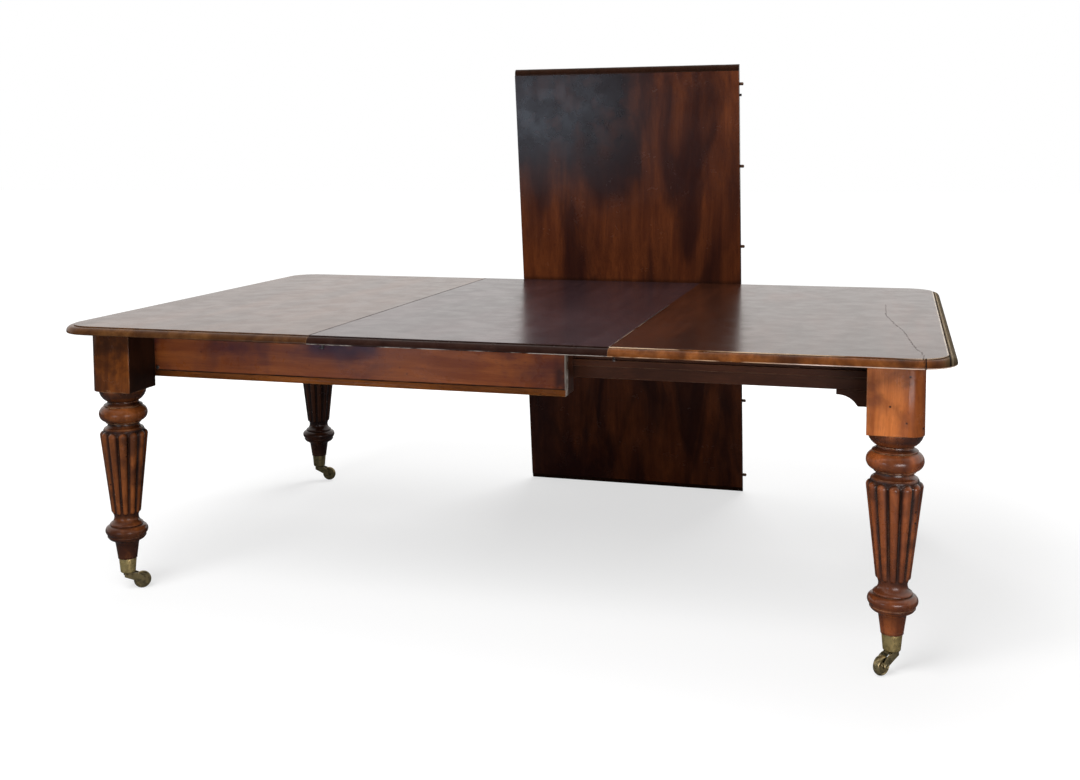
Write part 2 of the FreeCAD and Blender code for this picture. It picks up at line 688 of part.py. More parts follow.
def leg(name, x, y, outward_x, outward_y):
    """One leg: turned shaft, reeds, and a block with its outer corner rounded."""
    body = doc.addObject("PartDesign::Body", name)
    turned = new_sketch(body, f"{name}_turning", "XZ_Plane")
    outline(turned, leg_profile())
    turn_round(body, f"{name}_shaft", turned)
    square = new_sketch(body, f"{name}_square", "XY_Plane",
                        Placement(Vector(0, 0, float(cell("block_foot"))), Rotation()))
    outline(square, [(-half_block, -half_block), (half_block, -half_block),
                     (half_block, half_block), (-half_block, half_block)])
    block = pad(body, f"{name}_block", square, underside - cell("block_foot"))

    def outer_corner(edge):
        middle = edge.BoundBox.Center
        tall = edge.BoundBox.ZLength > float(underside - cell("block_foot")) - 1
        return (tall and abs(middle.x - outward_x * float(half_block)) < 0.1
                and abs(middle.y - outward_y * float(half_block)) < 0.1)

    round_edges(body, f"{name}_corner", block, cell("block_corner"), outer_corner)
    rise = cell("reed_top") - cell("reed_foot")
    spread = cell("reed_top_out") - cell("reed_foot_out")
    tilt = math.degrees(math.atan2(float(spread), float(rise)))
    # One reed is turned about its own leaning axis: a taper with a ball at each end.
    spin = Rotation(Vector(0, 0, 1), -tilt)
    reed_sketch = new_sketch(body, f"{name}_reed_outline", "XZ_Plane", Placement(
        Vector(float(cell("reed_foot_out")), float(cell("reed_foot")), 0), spin))
    slope = Size(math.hypot(float(rise), float(spread)), f"sqrt({rise.text}^2 + {spread.text}^2)")
    thin, thick = cell("reed_foot_radius"), cell("reed_top_radius")
    outline(reed_sketch, [(0, -thin, thin), (thin, 0), (thick, slope, thick), (0, slope + thick)])
    reed = turn_round(body, f"{name}_reed", reed_sketch)
    pattern = body.newObject("PartDesign::PolarPattern", f"{name}_reeds")
    pattern.Originals = [reed]
    pattern.Axis = (turned, ["V_Axis"])
    pattern.Angle = 360
    pattern.setExpression("Occurrences", "dims.reed_count")
    body.Tip = pattern
    # The mortise for the end rail's tenon is in the block's inner side.
    shift = (cell("rail_setback") - cell("apron_thick") * 0.5) * outward_x
    half = cell("tenon_thick") * 0.5 + cell("glue_line")
    slack = cell("glue_line")
    mortise = new_sketch(body, f"{name}_mortise_outline", "XZ_Plane",
                         Placement(Vector(0, 0, outward_y * float(half_block)), Rotation()))
    outline(mortise, [(shift - half, cell("tenon_foot") - slack),
                      (shift + half, cell("tenon_foot") - slack),
                      (shift + half, cell("tenon_top") + slack),
                      (shift - half, cell("tenon_top") + slack)])
    pocket(body, f"{name}_mortise", mortise, cell("tenon_reach") + 1, forward=outward_y < 0)
    keep(body, name, moved(x, y, 0))


def make_legs():
    for end, outward_x in (("left", -1), ("right", 1)):
        x = leg_inset if outward_x < 0 else table_length - leg_inset
        for word, side in (("front", -1), ("back", 1)):
            out = size(0) if outward_x < 0 else cell("pass_gap")
            leg(f"{word}_{end}_leg", x, side_y(side, leg_inset - out), outward_x, side)


# ---------------------------------------------------------------- castors
def cap(name, x, y):
    """The brass cup on a leg's foot."""
    c = cell
    body = doc.addObject("PartDesign::Body", name)
    sketch = new_sketch(body, f"{name}_turning", "XZ_Plane")
    outline(sketch, [
        (c("pin_radius"), c("cap_foot")),
        (c("cap_foot_radius") - c("cap_round"), c("cap_foot"), c("cap_round")),
        (c("cap_foot_radius"), c("cap_foot") + c("cap_round")),
        (c("cap_top_radius"), c("cap_seat") - c("cap_lip")),
        (c("cap_seat_radius") + c("cap_slack"), c("cap_seat") - c("cap_lip")),
        (c("foot_end_radius") + c("cap_slack"), c("foot_end")),
        (c("pin_radius"), c("foot_end")),
    ])
    turn_round(body, f"{name}_cup", sketch)
    keep(body, name, moved(x, y, 0))


def swivel_pin(x, y):
    """The pin a castor turns on: held in the cap, with its head inside the fork."""
    c = cell
    base = Vector(float(x), float(y), float(c("pin_head_foot")))
    head = rod(c("pin_head_radius"), c("pin_head_top") - c("pin_head_foot"), base, Vector(0, 0, 1))
    shank = rod(c("pin_radius"), c("foot_end") - c("pin_head_foot"), base, Vector(0, 0, 1))
    return joined([head, shank])


def fork(name, place):
    """The horn that carries a wheel: swivel boss, short web, two open cheeks."""
    c = cell
    trail, axle_level = c("castor_trail"), c("wheel_radius")
    inside = c("wheel_hub_wide") + c("fork_gap") * 2
    wide = inside + c("cheek_thick") * 2
    body = doc.addObject("PartDesign::Body", name)
    side = new_sketch(body, f"{name}_side", "XZ_Plane",
                      Placement(Vector(0, 0, -float(wide) / 2), Rotation()))
    eye = float(c("eye_radius"))
    centre = Vector(float(trail), float(axle_level), 0)
    shoulder = float(c("fork_top")) - float(c("fork_shoulder"))

    def round_eye(alias):
        turn = math.radians(float(c(alias)))
        return centre + Vector(math.cos(turn), math.sin(turn), 0) * eye

    grip = round_eye("grip_turn")
    under = round_eye("tail_turn")
    boss = float(c("fork_boss"))
    outline(side, [
        (-boss, c("fork_web_foot") - c("fork_tail")), (under.x, under.y, eye),
        (grip.x, grip.y, c("fork_brow")), (c("fork_neck"), shoulder),
        (boss, c("fork_top")), (-boss, c("fork_top")),
    ])
    pad(body, f"{name}_solid", side, wide)
    slot = new_sketch(body, f"{name}_slot_side", "XZ_Plane",
                      Placement(Vector(0, 0, -float(inside) / 2), Rotation()))
    shelf = float(c("fork_web_foot"))
    past = float(c("fork_mouth"))
    mouth = centre.x + eye + past
    web_end = c("fork_web_end")
    above = float(c("fork_top")) + past
    outline(slot, [
        (-boss - past, -past), (mouth, -past), (mouth, above), (web_end, above),
        (web_end, shelf), (-boss - past, shelf),
    ])
    pocket(body, f"{name}_slot", slot, inside, forward=True)
    hole = new_sketch(body, f"{name}_bore_outline", "XY_Plane",
                      Placement(Vector(0, 0, float(c("fork_top")) + past), Rotation()))
    circle_row(hole, [(0, 0)], c("pin_radius") + c("running_gap"))
    pocket(body, f"{name}_bore", hole, c("fork_top") - c("fork_web_foot") + c("fork_mouth") * 2)
    eye_hole = new_sketch(body, f"{name}_eye_outline", "XZ_Plane",
                          Placement(Vector(0, 0, -float(wide)), Rotation()))
    circle_row(eye_hole, [(trail, axle_level)], c("axle_radius") + c("axle_fit"))
    pocket(body, f"{name}_eye", eye_hole, wide * 2, forward=True)
    keep(body, name, place)


def wheel(name, place):
    """A brass wheel: crowned tread, dished sides, a bored hub. Its own axis is Z."""
    c = cell
    half, hub = c("wheel_wide") * 0.5, c("wheel_hub_wide") * 0.5
    bore = c("axle_radius") + c("running_gap")
    rim = c("wheel_radius") - c("wheel_crown")
    inner_rim = rim - c("wheel_rim") - c("wheel_bevel")
    dished = half - c("wheel_dish")
    nave = c("wheel_hub_radius")
    body = doc.addObject("PartDesign::Body", name)
    sketch = new_sketch(body, f"{name}_turning", "XZ_Plane")
    crown = float(c("wheel_crown"))
    tread = (float(half) ** 2 + crown ** 2) / (2 * crown)
    outline(sketch, [
        (bore, -hub), (nave, -hub), (nave + c("wheel_hub_slope"), -dished),
        (inner_rim, -dished), (rim - c("wheel_bevel"), -half), (rim, -half, tread),
        (rim, half), (rim - c("wheel_bevel"), half), (inner_rim, dished),
        (nave + c("wheel_hub_slope"), dished), (nave, hub), (bore, hub),
    ])
    turn_round(body, f"{name}_disc", sketch)
    keep(body, name, place)


def axle(name, place):
    """The riveted axle, fixed in the fork's cheeks. Its own axis is Z."""
    c = cell
    wide = c("wheel_hub_wide") + c("fork_gap") * 2 + c("cheek_thick") * 2
    long = wide + c("axle_head_thick") * 2
    shank = rod(c("axle_radius"), long, Vector(0, 0, -float(long) / 2), Vector(0, 0, 1))
    heads = [taper(c("axle_head_radius"), c("axle_head_tip"), c("axle_head_thick"),
                   Vector(0, 0, side * float(wide) / 2), Vector(0, 0, side))
             for side in (-1, 1)]
    keep(joined([shank] + heads), name, place)


# Where each castor trails, in degrees from +X.
castor_headings = {"front_left": 41, "front_right": 234, "back_left": 5, "back_right": 152}


def make_castors():
    pins = {"left": [], "right": []}
    for place_name, heading in castor_headings.items():
        word, end = place_name.split("_")
        side = -1 if word == "front" else 1
        x = leg_inset if end == "left" else table_length - leg_inset
        out = size(0) if end == "left" else cell("pass_gap")
        y = side_y(side, leg_inset - out)
        cap(f"{place_name}_cap", x, y)
        pins[end].append(swivel_pin(x, y))
        turn = Rotation(Vector(0, 0, 1), heading)
        swivel = moved(x, y, 0, turn)
        fork(f"{place_name}_fork", swivel)
        hub = Vector(float(cell("castor_trail")), 0, float(cell("wheel_radius")))
        lay_down = Placement(hub, Rotation(Vector(1, 0, 0), 90))
        wheel(f"{place_name}_wheel", swivel.multiply(lay_down))
        axle(f"{place_name}_axle", swivel.multiply(lay_down))
    for end, shapes in pins.items():
        keep(grouped(shapes), f"{end}_swivel_pins", moved())


make_top()
make_spare_leaf()
make_joint_hooks()
make_underframe()
make_fixings()
make_legs()
make_castors()
doc.recompute()

for thing in doc.Objects:
    if "Invalid" in thing.State or "Error" in thing.State:
        raise RuntimeError(f"{thing.Name} {thing.Label}: {thing.State}")
for node in nodes:
    shape = node.Shape
    if shape.isNull() or not shape.isValid():
        raise RuntimeError(f"{node.Label} is null or invalid")
    shape.exportStep(f"parts/{node.Label}.step")
    bounds = shape.BoundBox
    print(f"{node.Label:24s} solids {len(shape.Solids)} volume {shape.Volume / 1000:9.1f} cm3  "
          f"x {bounds.XMin:8.1f} {bounds.XMax:8.1f}  y {bounds.YMin:8.1f} {bounds.YMax:8.1f}  "
          f"z {bounds.ZMin:6.1f} {bounds.ZMax:6.1f}")
print(len(nodes), "nodes; whole depth", whole_depth)
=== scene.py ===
import bpy
import bmesh
import json
import math
from mathutils import Matrix, Vector, noise


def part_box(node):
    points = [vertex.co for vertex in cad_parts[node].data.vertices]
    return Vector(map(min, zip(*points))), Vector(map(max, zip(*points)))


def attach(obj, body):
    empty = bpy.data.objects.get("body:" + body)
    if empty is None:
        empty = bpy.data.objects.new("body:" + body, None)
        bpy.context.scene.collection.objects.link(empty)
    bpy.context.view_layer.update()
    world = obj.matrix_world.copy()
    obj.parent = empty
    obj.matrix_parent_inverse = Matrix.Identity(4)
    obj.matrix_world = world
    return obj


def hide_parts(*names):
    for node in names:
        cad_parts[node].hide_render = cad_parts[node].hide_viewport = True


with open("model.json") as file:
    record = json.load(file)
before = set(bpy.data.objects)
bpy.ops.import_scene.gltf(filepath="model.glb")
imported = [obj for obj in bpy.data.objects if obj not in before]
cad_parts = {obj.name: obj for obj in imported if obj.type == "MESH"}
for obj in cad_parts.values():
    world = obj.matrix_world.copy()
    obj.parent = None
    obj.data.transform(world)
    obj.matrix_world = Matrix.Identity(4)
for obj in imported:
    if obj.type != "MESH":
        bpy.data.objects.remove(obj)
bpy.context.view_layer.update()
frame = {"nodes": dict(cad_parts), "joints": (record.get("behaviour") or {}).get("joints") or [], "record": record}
mm = 0.001
print("frame loaded:", len(frame["nodes"]), "nodes")


# Nodes

def wire(tree, node, inputs):
    # A socket is linked and any other value is set. Colours are given without alpha.
    for label, value in inputs.items():
        socket = node.inputs[label]
        if isinstance(value, bpy.types.NodeSocket):
            tree.links.new(value, socket)
        elif socket.type == "RGBA":
            socket.default_value = (*value, 1)
        elif value is not None:
            socket.default_value = value
    return node


def addNode(tree, kind, inputs, **settings):
    node = tree.nodes.new("ShaderNode" + kind)
    for key, value in settings.items():
        setattr(node, key, value)
    return wire(tree, node, inputs)


def addMath(tree, operation, first, second=None, clamp=False):
    return addNode(tree, "Math", {0: first, 1: second}, operation=operation, use_clamp=clamp).outputs[0]


def times(tree, first, second):
    return addMath(tree, "MULTIPLY", first, second)


def addVector(tree, operation, first, second):
    return addNode(tree, "VectorMath", {0: first, 1: second}, operation=operation).outputs


def addNoise(tree, vector, scale, detail=4, roughness=0.55, distortion=0.0):
    return addNode(tree, "TexNoise", {
        "Vector": vector, "Scale": scale, "Detail": detail, "Roughness": roughness,
        "Distortion": distortion}).outputs["Fac"]


def addStretch(tree, vector, scale, turn=(0, 0, 0), shift=(0, 0, 0)):
    return addNode(tree, "Mapping", {
        "Vector": vector, "Location": shift, "Scale": scale, "Rotation": turn}).outputs[0]


def addRange(tree, value, low, high, outLow=0.0, outHigh=1.0):
    return addNode(tree, "MapRange", {
        "Value": value, "From Min": low, "From Max": high, "To Min": outLow, "To Max": outHigh},
        interpolation_type="SMOOTHSTEP").outputs[0]


def addMix(tree, factor, first, second):
    return addNode(tree, "Mix", {0: factor, 6: first, 7: second}, data_type="RGBA").outputs[2]


def addGroup(tree, group, inputs):
    return addNode(tree, "Group", inputs, node_tree=group).outputs


def newMaterial(name):
    material = bpy.data.materials.new(name)
    material.use_nodes = True
    tree = material.node_tree
    coords = addNode(tree, "TexCoord", {}).outputs["Object"]
    return material, tree, tree.nodes["Principled BSDF"], coords


# Camera, floor, light

cameraSet = {
    "place": (0.9768, -3.6035, 1.1792),
    "yaw": 0.2966,      # turned left of straight ahead, in radians
    "pitch": -0.0800,
    "roll": -0.0068,
    "lens": 42.76,
    "shiftX": 0.0341,
    "shiftY": -0.1277,
}
studio = {
    "floorColour": (0.36, 0.36, 0.36),
    "floorInPolish": (0.10, 0.11, 0.12),   # the floor's colour in glossy surfaces
    "floorGlow": (0.66, 0.97),     # what the camera sees besides the floor's own light: near, far
    "glowReach": (1.3, 3.0),
    "floorSize": 60.0,
    "backdrop": 1.0,               # the white round the table, as the camera and the polish see it
    "inPolish": (1.0, 0.972, 0.945),      # the tint of that white in the polish
    "roomBehind": 0.05,            # the dark room behind the camera, as the polish sees it
    "roomFade": (-0.75, 0.1),      # Y of the directions where the dark room ends and the white begins
    "roomLight": 0.20,
}
lamps = {
    "main": {"place": (-0.9, -3.0, 3.4), "aim": (0.0, -0.4, 0.5), "size": (2.4, 2.4), "power": 172,
             "colour": (1, 1, 1), "inPolish": False},
    "strip": {"place": (1.95, -3.1, 0.40), "aim": (1.0, -0.7, 0.42), "size": (1.6, 0.58), "power": 26,
              "colour": (1, 0.96, 0.98), "inPolish": True},
    "card": {"place": (-1.2, -2.96, 0.42), "aim": (0.0, 0.8, 1.3), "size": (0.9, 0.4), "power": 6.2,
             "colour": (0.68, 0.83, 1.0), "inPolish": True},
    "back": {"place": (0.3, 3.7, 3.3), "aim": (0.0, 0.3, 0.5), "size": (2.4, 1.8), "power": 110,
             "colour": (1, 1, 1), "inPolish": False},
    "sky": {"place": (-0.2, 0.6, 3.4), "aim": (0.0, 0.0, 0.0), "size": (3.2, 2.6), "power": 45,
            "colour": (1, 1, 1), "inPolish": False},
}


def makeCamera():
    data = bpy.data.cameras.new("camera")
    data.lens = cameraSet["lens"]
    data.sensor_width = 36
    data.sensor_fit = "HORIZONTAL"
    data.shift_x = cameraSet["shiftX"]
    data.shift_y = cameraSet["shiftY"]
    camera = bpy.data.objects.new("camera", data)
    yaw, pitch, roll = cameraSet["yaw"], cameraSet["pitch"], cameraSet["roll"]
    ahead = Vector((-math.sin(yaw) * math.cos(pitch), math.cos(yaw) * math.cos(pitch), math.sin(pitch)))
    right = Vector((math.cos(yaw), math.sin(yaw), 0))
    up = right.cross(ahead)
    rightRolled = right * math.cos(roll) + up * math.sin(roll)
    upRolled = up * math.cos(roll) - right * math.sin(roll)
    turn = Matrix((rightRolled, upRolled, -ahead)).transposed().to_4x4()
    camera.matrix_world = Matrix.Translation(cameraSet["place"]) @ turn
    bpy.context.scene.collection.objects.link(camera)
    bpy.context.scene.camera = camera


def areaLamp(name, look):
    data = bpy.data.lights.new(name, "AREA")
    data.shape = "RECTANGLE"
    data.size, data.size_y = look["size"]
    data.energy = look["power"]
    data.color = look["colour"]
    lamp = bpy.data.objects.new(name, data)
    place, aim = Vector(look["place"]), Vector(look["aim"])
    turn = (aim - place).to_track_quat("-Z", "Y").to_matrix().to_4x4()
    lamp.matrix_world = Matrix.Translation(place) @ turn
    lamp.visible_camera = False
    lamp.visible_glossy = look["inPolish"]
    bpy.context.scene.collection.objects.link(lamp)


def makeWorld():
    world = bpy.data.worlds.new("studio")
    bpy.context.scene.world = world
    world.use_nodes = True
    tree = world.node_tree
    tree.nodes.clear()
    path = addNode(tree, "LightPath", {}).outputs
    coords = addNode(tree, "TexCoord", {}).outputs["Generated"]
    ahead = addNode(tree, "SeparateXYZ", {0: coords}).outputs["Y"]
    # What the polish reflects: white behind the table, a darker room behind the camera.
    mirrored = addRange(tree, ahead, *studio["roomFade"], studio["roomBehind"], studio["backdrop"])
    lit = addNode(tree, "Mix", {
        "Factor": path["Is Glossy Ray"], "A": studio["roomLight"], "B": mirrored}).outputs["Result"]
    seen = addNode(tree, "Mix", {
        "Factor": path["Is Camera Ray"], "A": lit, "B": studio["backdrop"]}).outputs["Result"]
    tint = addMix(tree, path["Is Glossy Ray"], (1, 1, 1), studio["inPolish"])
    background = addNode(tree, "Background", {"Color": tint, "Strength": seen})
    addNode(tree, "OutputWorld", {0: background.outputs[0]})


def makeFloor():
    bm = bmesh.new()
    bmesh.ops.create_grid(bm, x_segments=1, y_segments=1, size=studio["floorSize"] / 2)
    mesh = bpy.data.meshes.new("floor")
    bm.to_mesh(mesh)
    bm.free()
    floor = bpy.data.objects.new("floor", mesh)
    bpy.context.scene.collection.objects.link(floor)
    material, tree, shader, coords = newMaterial("paleFloor")
    path = addNode(tree, "LightPath", {}).outputs
    colour = addMix(tree, path["Is Glossy Ray"], studio["floorColour"], studio["floorInPolish"])
    wire(tree, shader, {"Base Color": colour, "Roughness": 0.9, "Specular IOR Level": 0.1})
    # The camera sees the floor whiten away from the table.
    away = addNode(tree, "VectorMath", {0: coords}, operation="LENGTH").outputs["Value"]
    fade = addRange(tree, away, *studio["glowReach"], *studio["floorGlow"])
    glow = addNode(tree, "Emission", {"Strength": times(tree, path["Is Camera Ray"], fade)})
    above = addNode(tree, "AddShader", {0: shader.outputs[0], 1: glow.outputs[0]})
    # From below, the floor lets the underside be seen.
    facing = addNode(tree, "NewGeometry", {}).outputs["Backfacing"]
    clear = addNode(tree, "BsdfTransparent", {})
    pane = addNode(tree, "MixShader", {0: facing, 1: above.outputs[0], 2: clear.outputs[0]})
    wire(tree, tree.nodes["Material Output"], {"Surface": pane.outputs[0]})
    mesh.materials.append(material)


makeCamera()
for lampName, lampLook in lamps.items():
    areaLamp(lampName, lampLook)
makeWorld()
makeFloor()
bpy.context.scene.view_settings.view_transform = "Standard"
print("camera, light and floor ready")


# Finishes

def newGroup(name, inputs, outputs):
    tree = bpy.data.node_groups.new(name, "ShaderNodeTree")
    for label, kind, value in inputs:
        socket = tree.interface.new_socket(label, in_out="INPUT", socket_type="NodeSocket" + kind)
        if value is not None:
            socket.default_value = value
    for label, kind in outputs:
        tree.interface.new_socket(label, in_out="OUTPUT", socket_type="NodeSocket" + kind)
    return tree, tree.nodes.new("NodeGroupInput").outputs, tree.nodes.new("NodeGroupOutput")


def makeWoodGrain():
    # Grain runs along X of the vector. Figure is the broad flame, Pores the short dark lines.
    tree, given, result = newGroup(
        "woodGrain",
        [("Vector", "Vector", None), ("Dark", "Color", None), ("Middle", "Color", None),
         ("Light", "Color", None), ("Figure", "Float", 0.5), ("Figure Scale", "Float", 5.0),
         ("Pores", "Float", 0.3)],
        [("Color", "Color"), ("Height", "Float")])
    bend = addNoise(tree, addStretch(tree, given["Vector"], (0.8, 1, 1)), 2.2, 2)
    sway = addNode(tree, "CombineXYZ", {"Y": times(tree, bend, 0.10), "Z": times(tree, bend, 0.06)})
    bent = addVector(tree, "ADD", given["Vector"], sway.outputs[0])[0]

    def drawnOut(stretch, *look):
        return addNoise(tree, addStretch(tree, bent, (stretch, 1, 1)), *look)

    flame = drawnOut(0.22, given["Figure Scale"], 3, 0.5, 0.9)
    streak = drawnOut(0.05, 34, 5, 0.62, 0.25)
    fine = drawnOut(0.025, 190, 4, 0.6)
    pore = drawnOut(0.045, 620, 2, 0.5)
    body = addMix(tree, addRange(tree, streak, 0.30, 0.70), given["Middle"], given["Light"])
    body = addMix(tree, addRange(tree, fine, 0.35, 0.75, 0.0, 0.45), body, given["Middle"])
    flameMask = times(tree, addRange(tree, flame, 0.40, 0.62), given["Figure"])
    body = addMix(tree, flameMask, body, given["Dark"])
    poreMask = times(tree, addRange(tree, pore, 0.60, 0.70), given["Pores"])
    body = addMix(tree, poreMask, body, given["Dark"])
    level = addMath(tree, "SUBTRACT", times(tree, fine, 0.5), times(tree, poreMask, 0.3))
    wire(tree, result, {"Color": body, "Height": level})
    return tree


def makeEdgeWear():
    # White along convex edges, broken up as use rubs them.
    tree, given, result = newGroup(
        "edgeWear", [("Vector", "Vector", None), ("Radius", "Float", 0.004), ("Amount", "Float", 1.0)],
        [("Mask", "Float")])
    bevel = addNode(tree, "Bevel", {"Radius": given["Radius"]}, samples=4)
    surface = addNode(tree, "NewGeometry", {}).outputs["Normal"]
    meet = addVector(tree, "DOT_PRODUCT", bevel.outputs[0], surface)["Value"]
    edge = addRange(tree, meet, 0.98, 0.84)
    broken = addRange(tree, addNoise(tree, given["Vector"], 45, 5, 0.65), 0.38, 0.62, 0.15, 1.0)
    mask = addMath(tree, "MULTIPLY", times(tree, edge, broken), given["Amount"], clamp=True)
    wire(tree, result, {"Mask": mask})
    return tree


def makePolishDustAndShade():
    # Where dark polish and dust have gathered, and where small knocks have bruised the wood. Recess is dust with
    # painted shade, in hollows and where parts stand close.
    tree, given, result = newGroup(
        "oldPolish",
        [("Vector", "Vector", None), ("Reach", "Float", 0.02), ("Blotch Scale", "Float", 7.0)],
        [("Recess", "Float"), ("Blotch", "Float"), ("Knocks", "Float"), ("Smear", "Float")])
    vector = given["Vector"]
    hidden = addNode(tree, "AmbientOcclusion", {"Distance": given["Reach"]}, samples=6)
    blotch = addNoise(tree, vector, given["Blotch Scale"], 4, 0.6, 0.4)
    knock = addNode(tree, "TexVoronoi", {"Vector": vector, "Scale": 26, "Randomness": 1})
    near = addRange(tree, knock.outputs["Distance"], 0.10, 0.04)
    some = addRange(tree, addNoise(tree, vector, 9, 2), 0.44, 0.50)
    wire(tree, result, {
        "Recess": addRange(tree, hidden.outputs["AO"], 0.92, 0.35),
        "Blotch": addRange(tree, blotch, 0.42, 0.66),
        "Knocks": times(tree, near, some),
        "Smear": addNoise(tree, vector, 14, 5, 0.65, 0.3)})
    return tree


# The crack in the right section: x and y of its points, its width, and how far it strays from them.
crackSet = {
    "points": ((0.957, 0.19), (0.960, -0.05), (0.979, -0.20), (1.003, -0.355), (1.027, -0.625),
               (1.039, -0.69), (1.044, -0.80)),
    "width": 1.3 * mm, "stray": 20 * mm,
}


def makeHairCrack():
    # A dark line along a run of points on the top, seen from above.
    tree, given, result = newGroup("hairCrack", [("Vector", "Vector", None)], [("Mask", "Float")])
    points, width = crackSet["points"], crackSet["width"]
    flat = addVector(tree, "MULTIPLY", given["Vector"], (1, 1, 0))[0]
    rough = addMath(tree, "SUBTRACT", addNoise(tree, given["Vector"], 45, 5, 0.75), 0.5)
    sway = addNode(tree, "CombineXYZ", {"X": times(tree, rough, crackSet["stray"])})
    flat = addVector(tree, "ADD", flat, sway.outputs[0])[0]
    nearest = None
    for start, end in zip(points, points[1:]):
        run = Vector((*end, 0)) - Vector((*start, 0))
        offset = addVector(tree, "SUBTRACT", flat, (*start, 0))[0]
        share = addMath(tree, "DIVIDE", addVector(tree, "DOT_PRODUCT", offset, tuple(run))["Value"],
                        run.length_squared, clamp=True)
        foot = addNode(tree, "VectorMath", {0: tuple(run), "Scale": share}, operation="SCALE").outputs[0]
        gap = addVector(tree, "DISTANCE", offset, foot)["Value"]
        nearest = gap if nearest is None else addMath(tree, "MINIMUM", nearest, gap)
    broken = addRange(tree, addNoise(tree, given["Vector"], 60, 3), 0.35, 0.6, 0.35, 1.0)
    wire(tree, result, {"Mask": times(tree, addRange(tree, nearest, width, width * 0.3), broken)})
    return tree


def makePaintedBand():
    # A patchy band where Axis, measured from the origin, reaches Place.
    # It fades out where Stop Axis goes past Stop.
    tree, given, result = newGroup(
        "rubbedLine",
        [("Vector", "Vector", None), ("Axis", "Vector", (0, 0, 1)), ("Place", "Float", 0.0),
         ("Width", "Float", 0.002), ("Patchy", "Float", 0.5), ("Patch Scale", "Float", 16.0),
         ("Stop Axis", "Vector", (0, 0, 0)), ("Stop", "Float", 1.0)],
        [("Mask", "Float")])
    stopFade = 150 * mm

    def past(axis, place):
        along = addVector(tree, "DOT_PRODUCT", given["Vector"], given[axis])["Value"]
        return addMath(tree, "SUBTRACT", along, given[place])

    gap = addMath(tree, "ABSOLUTE", past("Axis", "Place"))
    near = addRange(tree, addMath(tree, "DIVIDE", gap, given["Width"]), 1.0, 0.3)
    patches = addRange(tree, addNoise(tree, given["Vector"], given["Patch Scale"], 4, 0.6), 0.40, 0.58)
    bare = times(tree, given["Patchy"], addMath(tree, "SUBTRACT", 1.0, patches))
    keep = addMath(tree, "SUBTRACT", 1.0, bare)
    before = addRange(tree, past("Stop Axis", "Stop"), stopFade, 0.0)
    wire(tree, result, {"Mask": times(tree, times(tree, near, keep), before)})
    return tree


woodGrain = makeWoodGrain()
rubbedLine = makePaintedBand()
hairCrack = makeHairCrack()
edgeWear = makeEdgeWear()
oldPolish = makePolishDustAndShade()

# The turn that lays X of the grain along each axis.
grainTurns = {
    "x": (0, 0, 0),
    "y": (0, 0, math.radians(-90)),
    "z": (0, math.radians(90), 0),
}


def polishedWood(name, look):
    material, tree, shader, coords = newMaterial(name)
    along = addStretch(tree, coords, (1, 1, 1), grainTurns[look["grain"]], look["shift"])
    wood = addGroup(tree, woodGrain, {
        "Vector": along, "Dark": look["dark"], "Middle": look["middle"], "Light": look["light"],
        "Figure": look["figure"], "Figure Scale": look["figureScale"], "Pores": look["pores"]})
    old = addGroup(tree, oldPolish, {
        "Vector": along, "Reach": look["recessReach"], "Blotch Scale": look["blotchScale"]})
    colour = wood["Color"]
    # Recess paints shade with dust into hollows and under close parts, and Knocks are bruises. Both take the
    # grime-and-shade colour.
    for mask, tone in (("Blotch", "dark"), ("Recess", "grime"), ("Knocks", "grime")):
        colour = addMix(tree, times(tree, old[mask], look[mask.lower()]), colour, look[tone])
    if look["wear"] > 0:
        worn = addGroup(tree, edgeWear, {
            "Vector": along, "Radius": look["wearRadius"], "Amount": look["wear"]})
        colour = addMix(tree, worn["Mask"], colour, look["bare"])
    if look["grooves"] > 0:
        # An attribute painted on the legs' reeds and coves darkens them: dust, and painted shade in the hollows,
        # over the lower bun and under the block.
        grime = addNode(tree, "Attribute", {}, attribute_name="grime").outputs["Fac"]
        patchy = addRange(tree, old["Smear"], 0.25, 0.65, 0.75, 1.0)
        dirtAndShade = times(tree, times(tree, grime, patchy), look["grooves"])
        colour = addMix(tree, dirtAndShade, colour, look["grime"])
    gloss = addRange(tree, old["Smear"], 0.3, 0.7, *look["gloss"])
    for key in look["lines"]:
        line = lines[key]
        band = addGroup(tree, rubbedLine, {
            "Vector": coords, "Axis": line["axis"], "Place": line["place"], "Width": line["width"],
            "Patchy": line["patchy"], "Patch Scale": line["patchScale"],
            "Stop Axis": line["stopAxis"], "Stop": line["stop"]})
        colour = addMix(tree, band["Mask"], colour, line["tone"])
        gloss = addMath(tree, "MAXIMUM", gloss, times(tree, band["Mask"], line["matt"]))
    if look["cracked"]:
        crack = addGroup(tree, hairCrack, {"Vector": coords})
        colour = addMix(tree, crack["Mask"], colour, look["grime"])
        gloss = addMath(tree, "MAXIMUM", gloss, crack["Mask"])
    height = addMath(tree, "SUBTRACT", wood["Height"], times(tree, old["Knocks"], look["knocks"]))
    bump = addNode(tree, "Bump", {"Strength": look["bump"], "Distance": 0.4 * mm, "Height": height})
    wire(tree, shader, {"Base Color": colour, "Specular IOR Level": look["specular"],
                        "Roughness": gloss, "Normal": bump.outputs[0]})
    return material


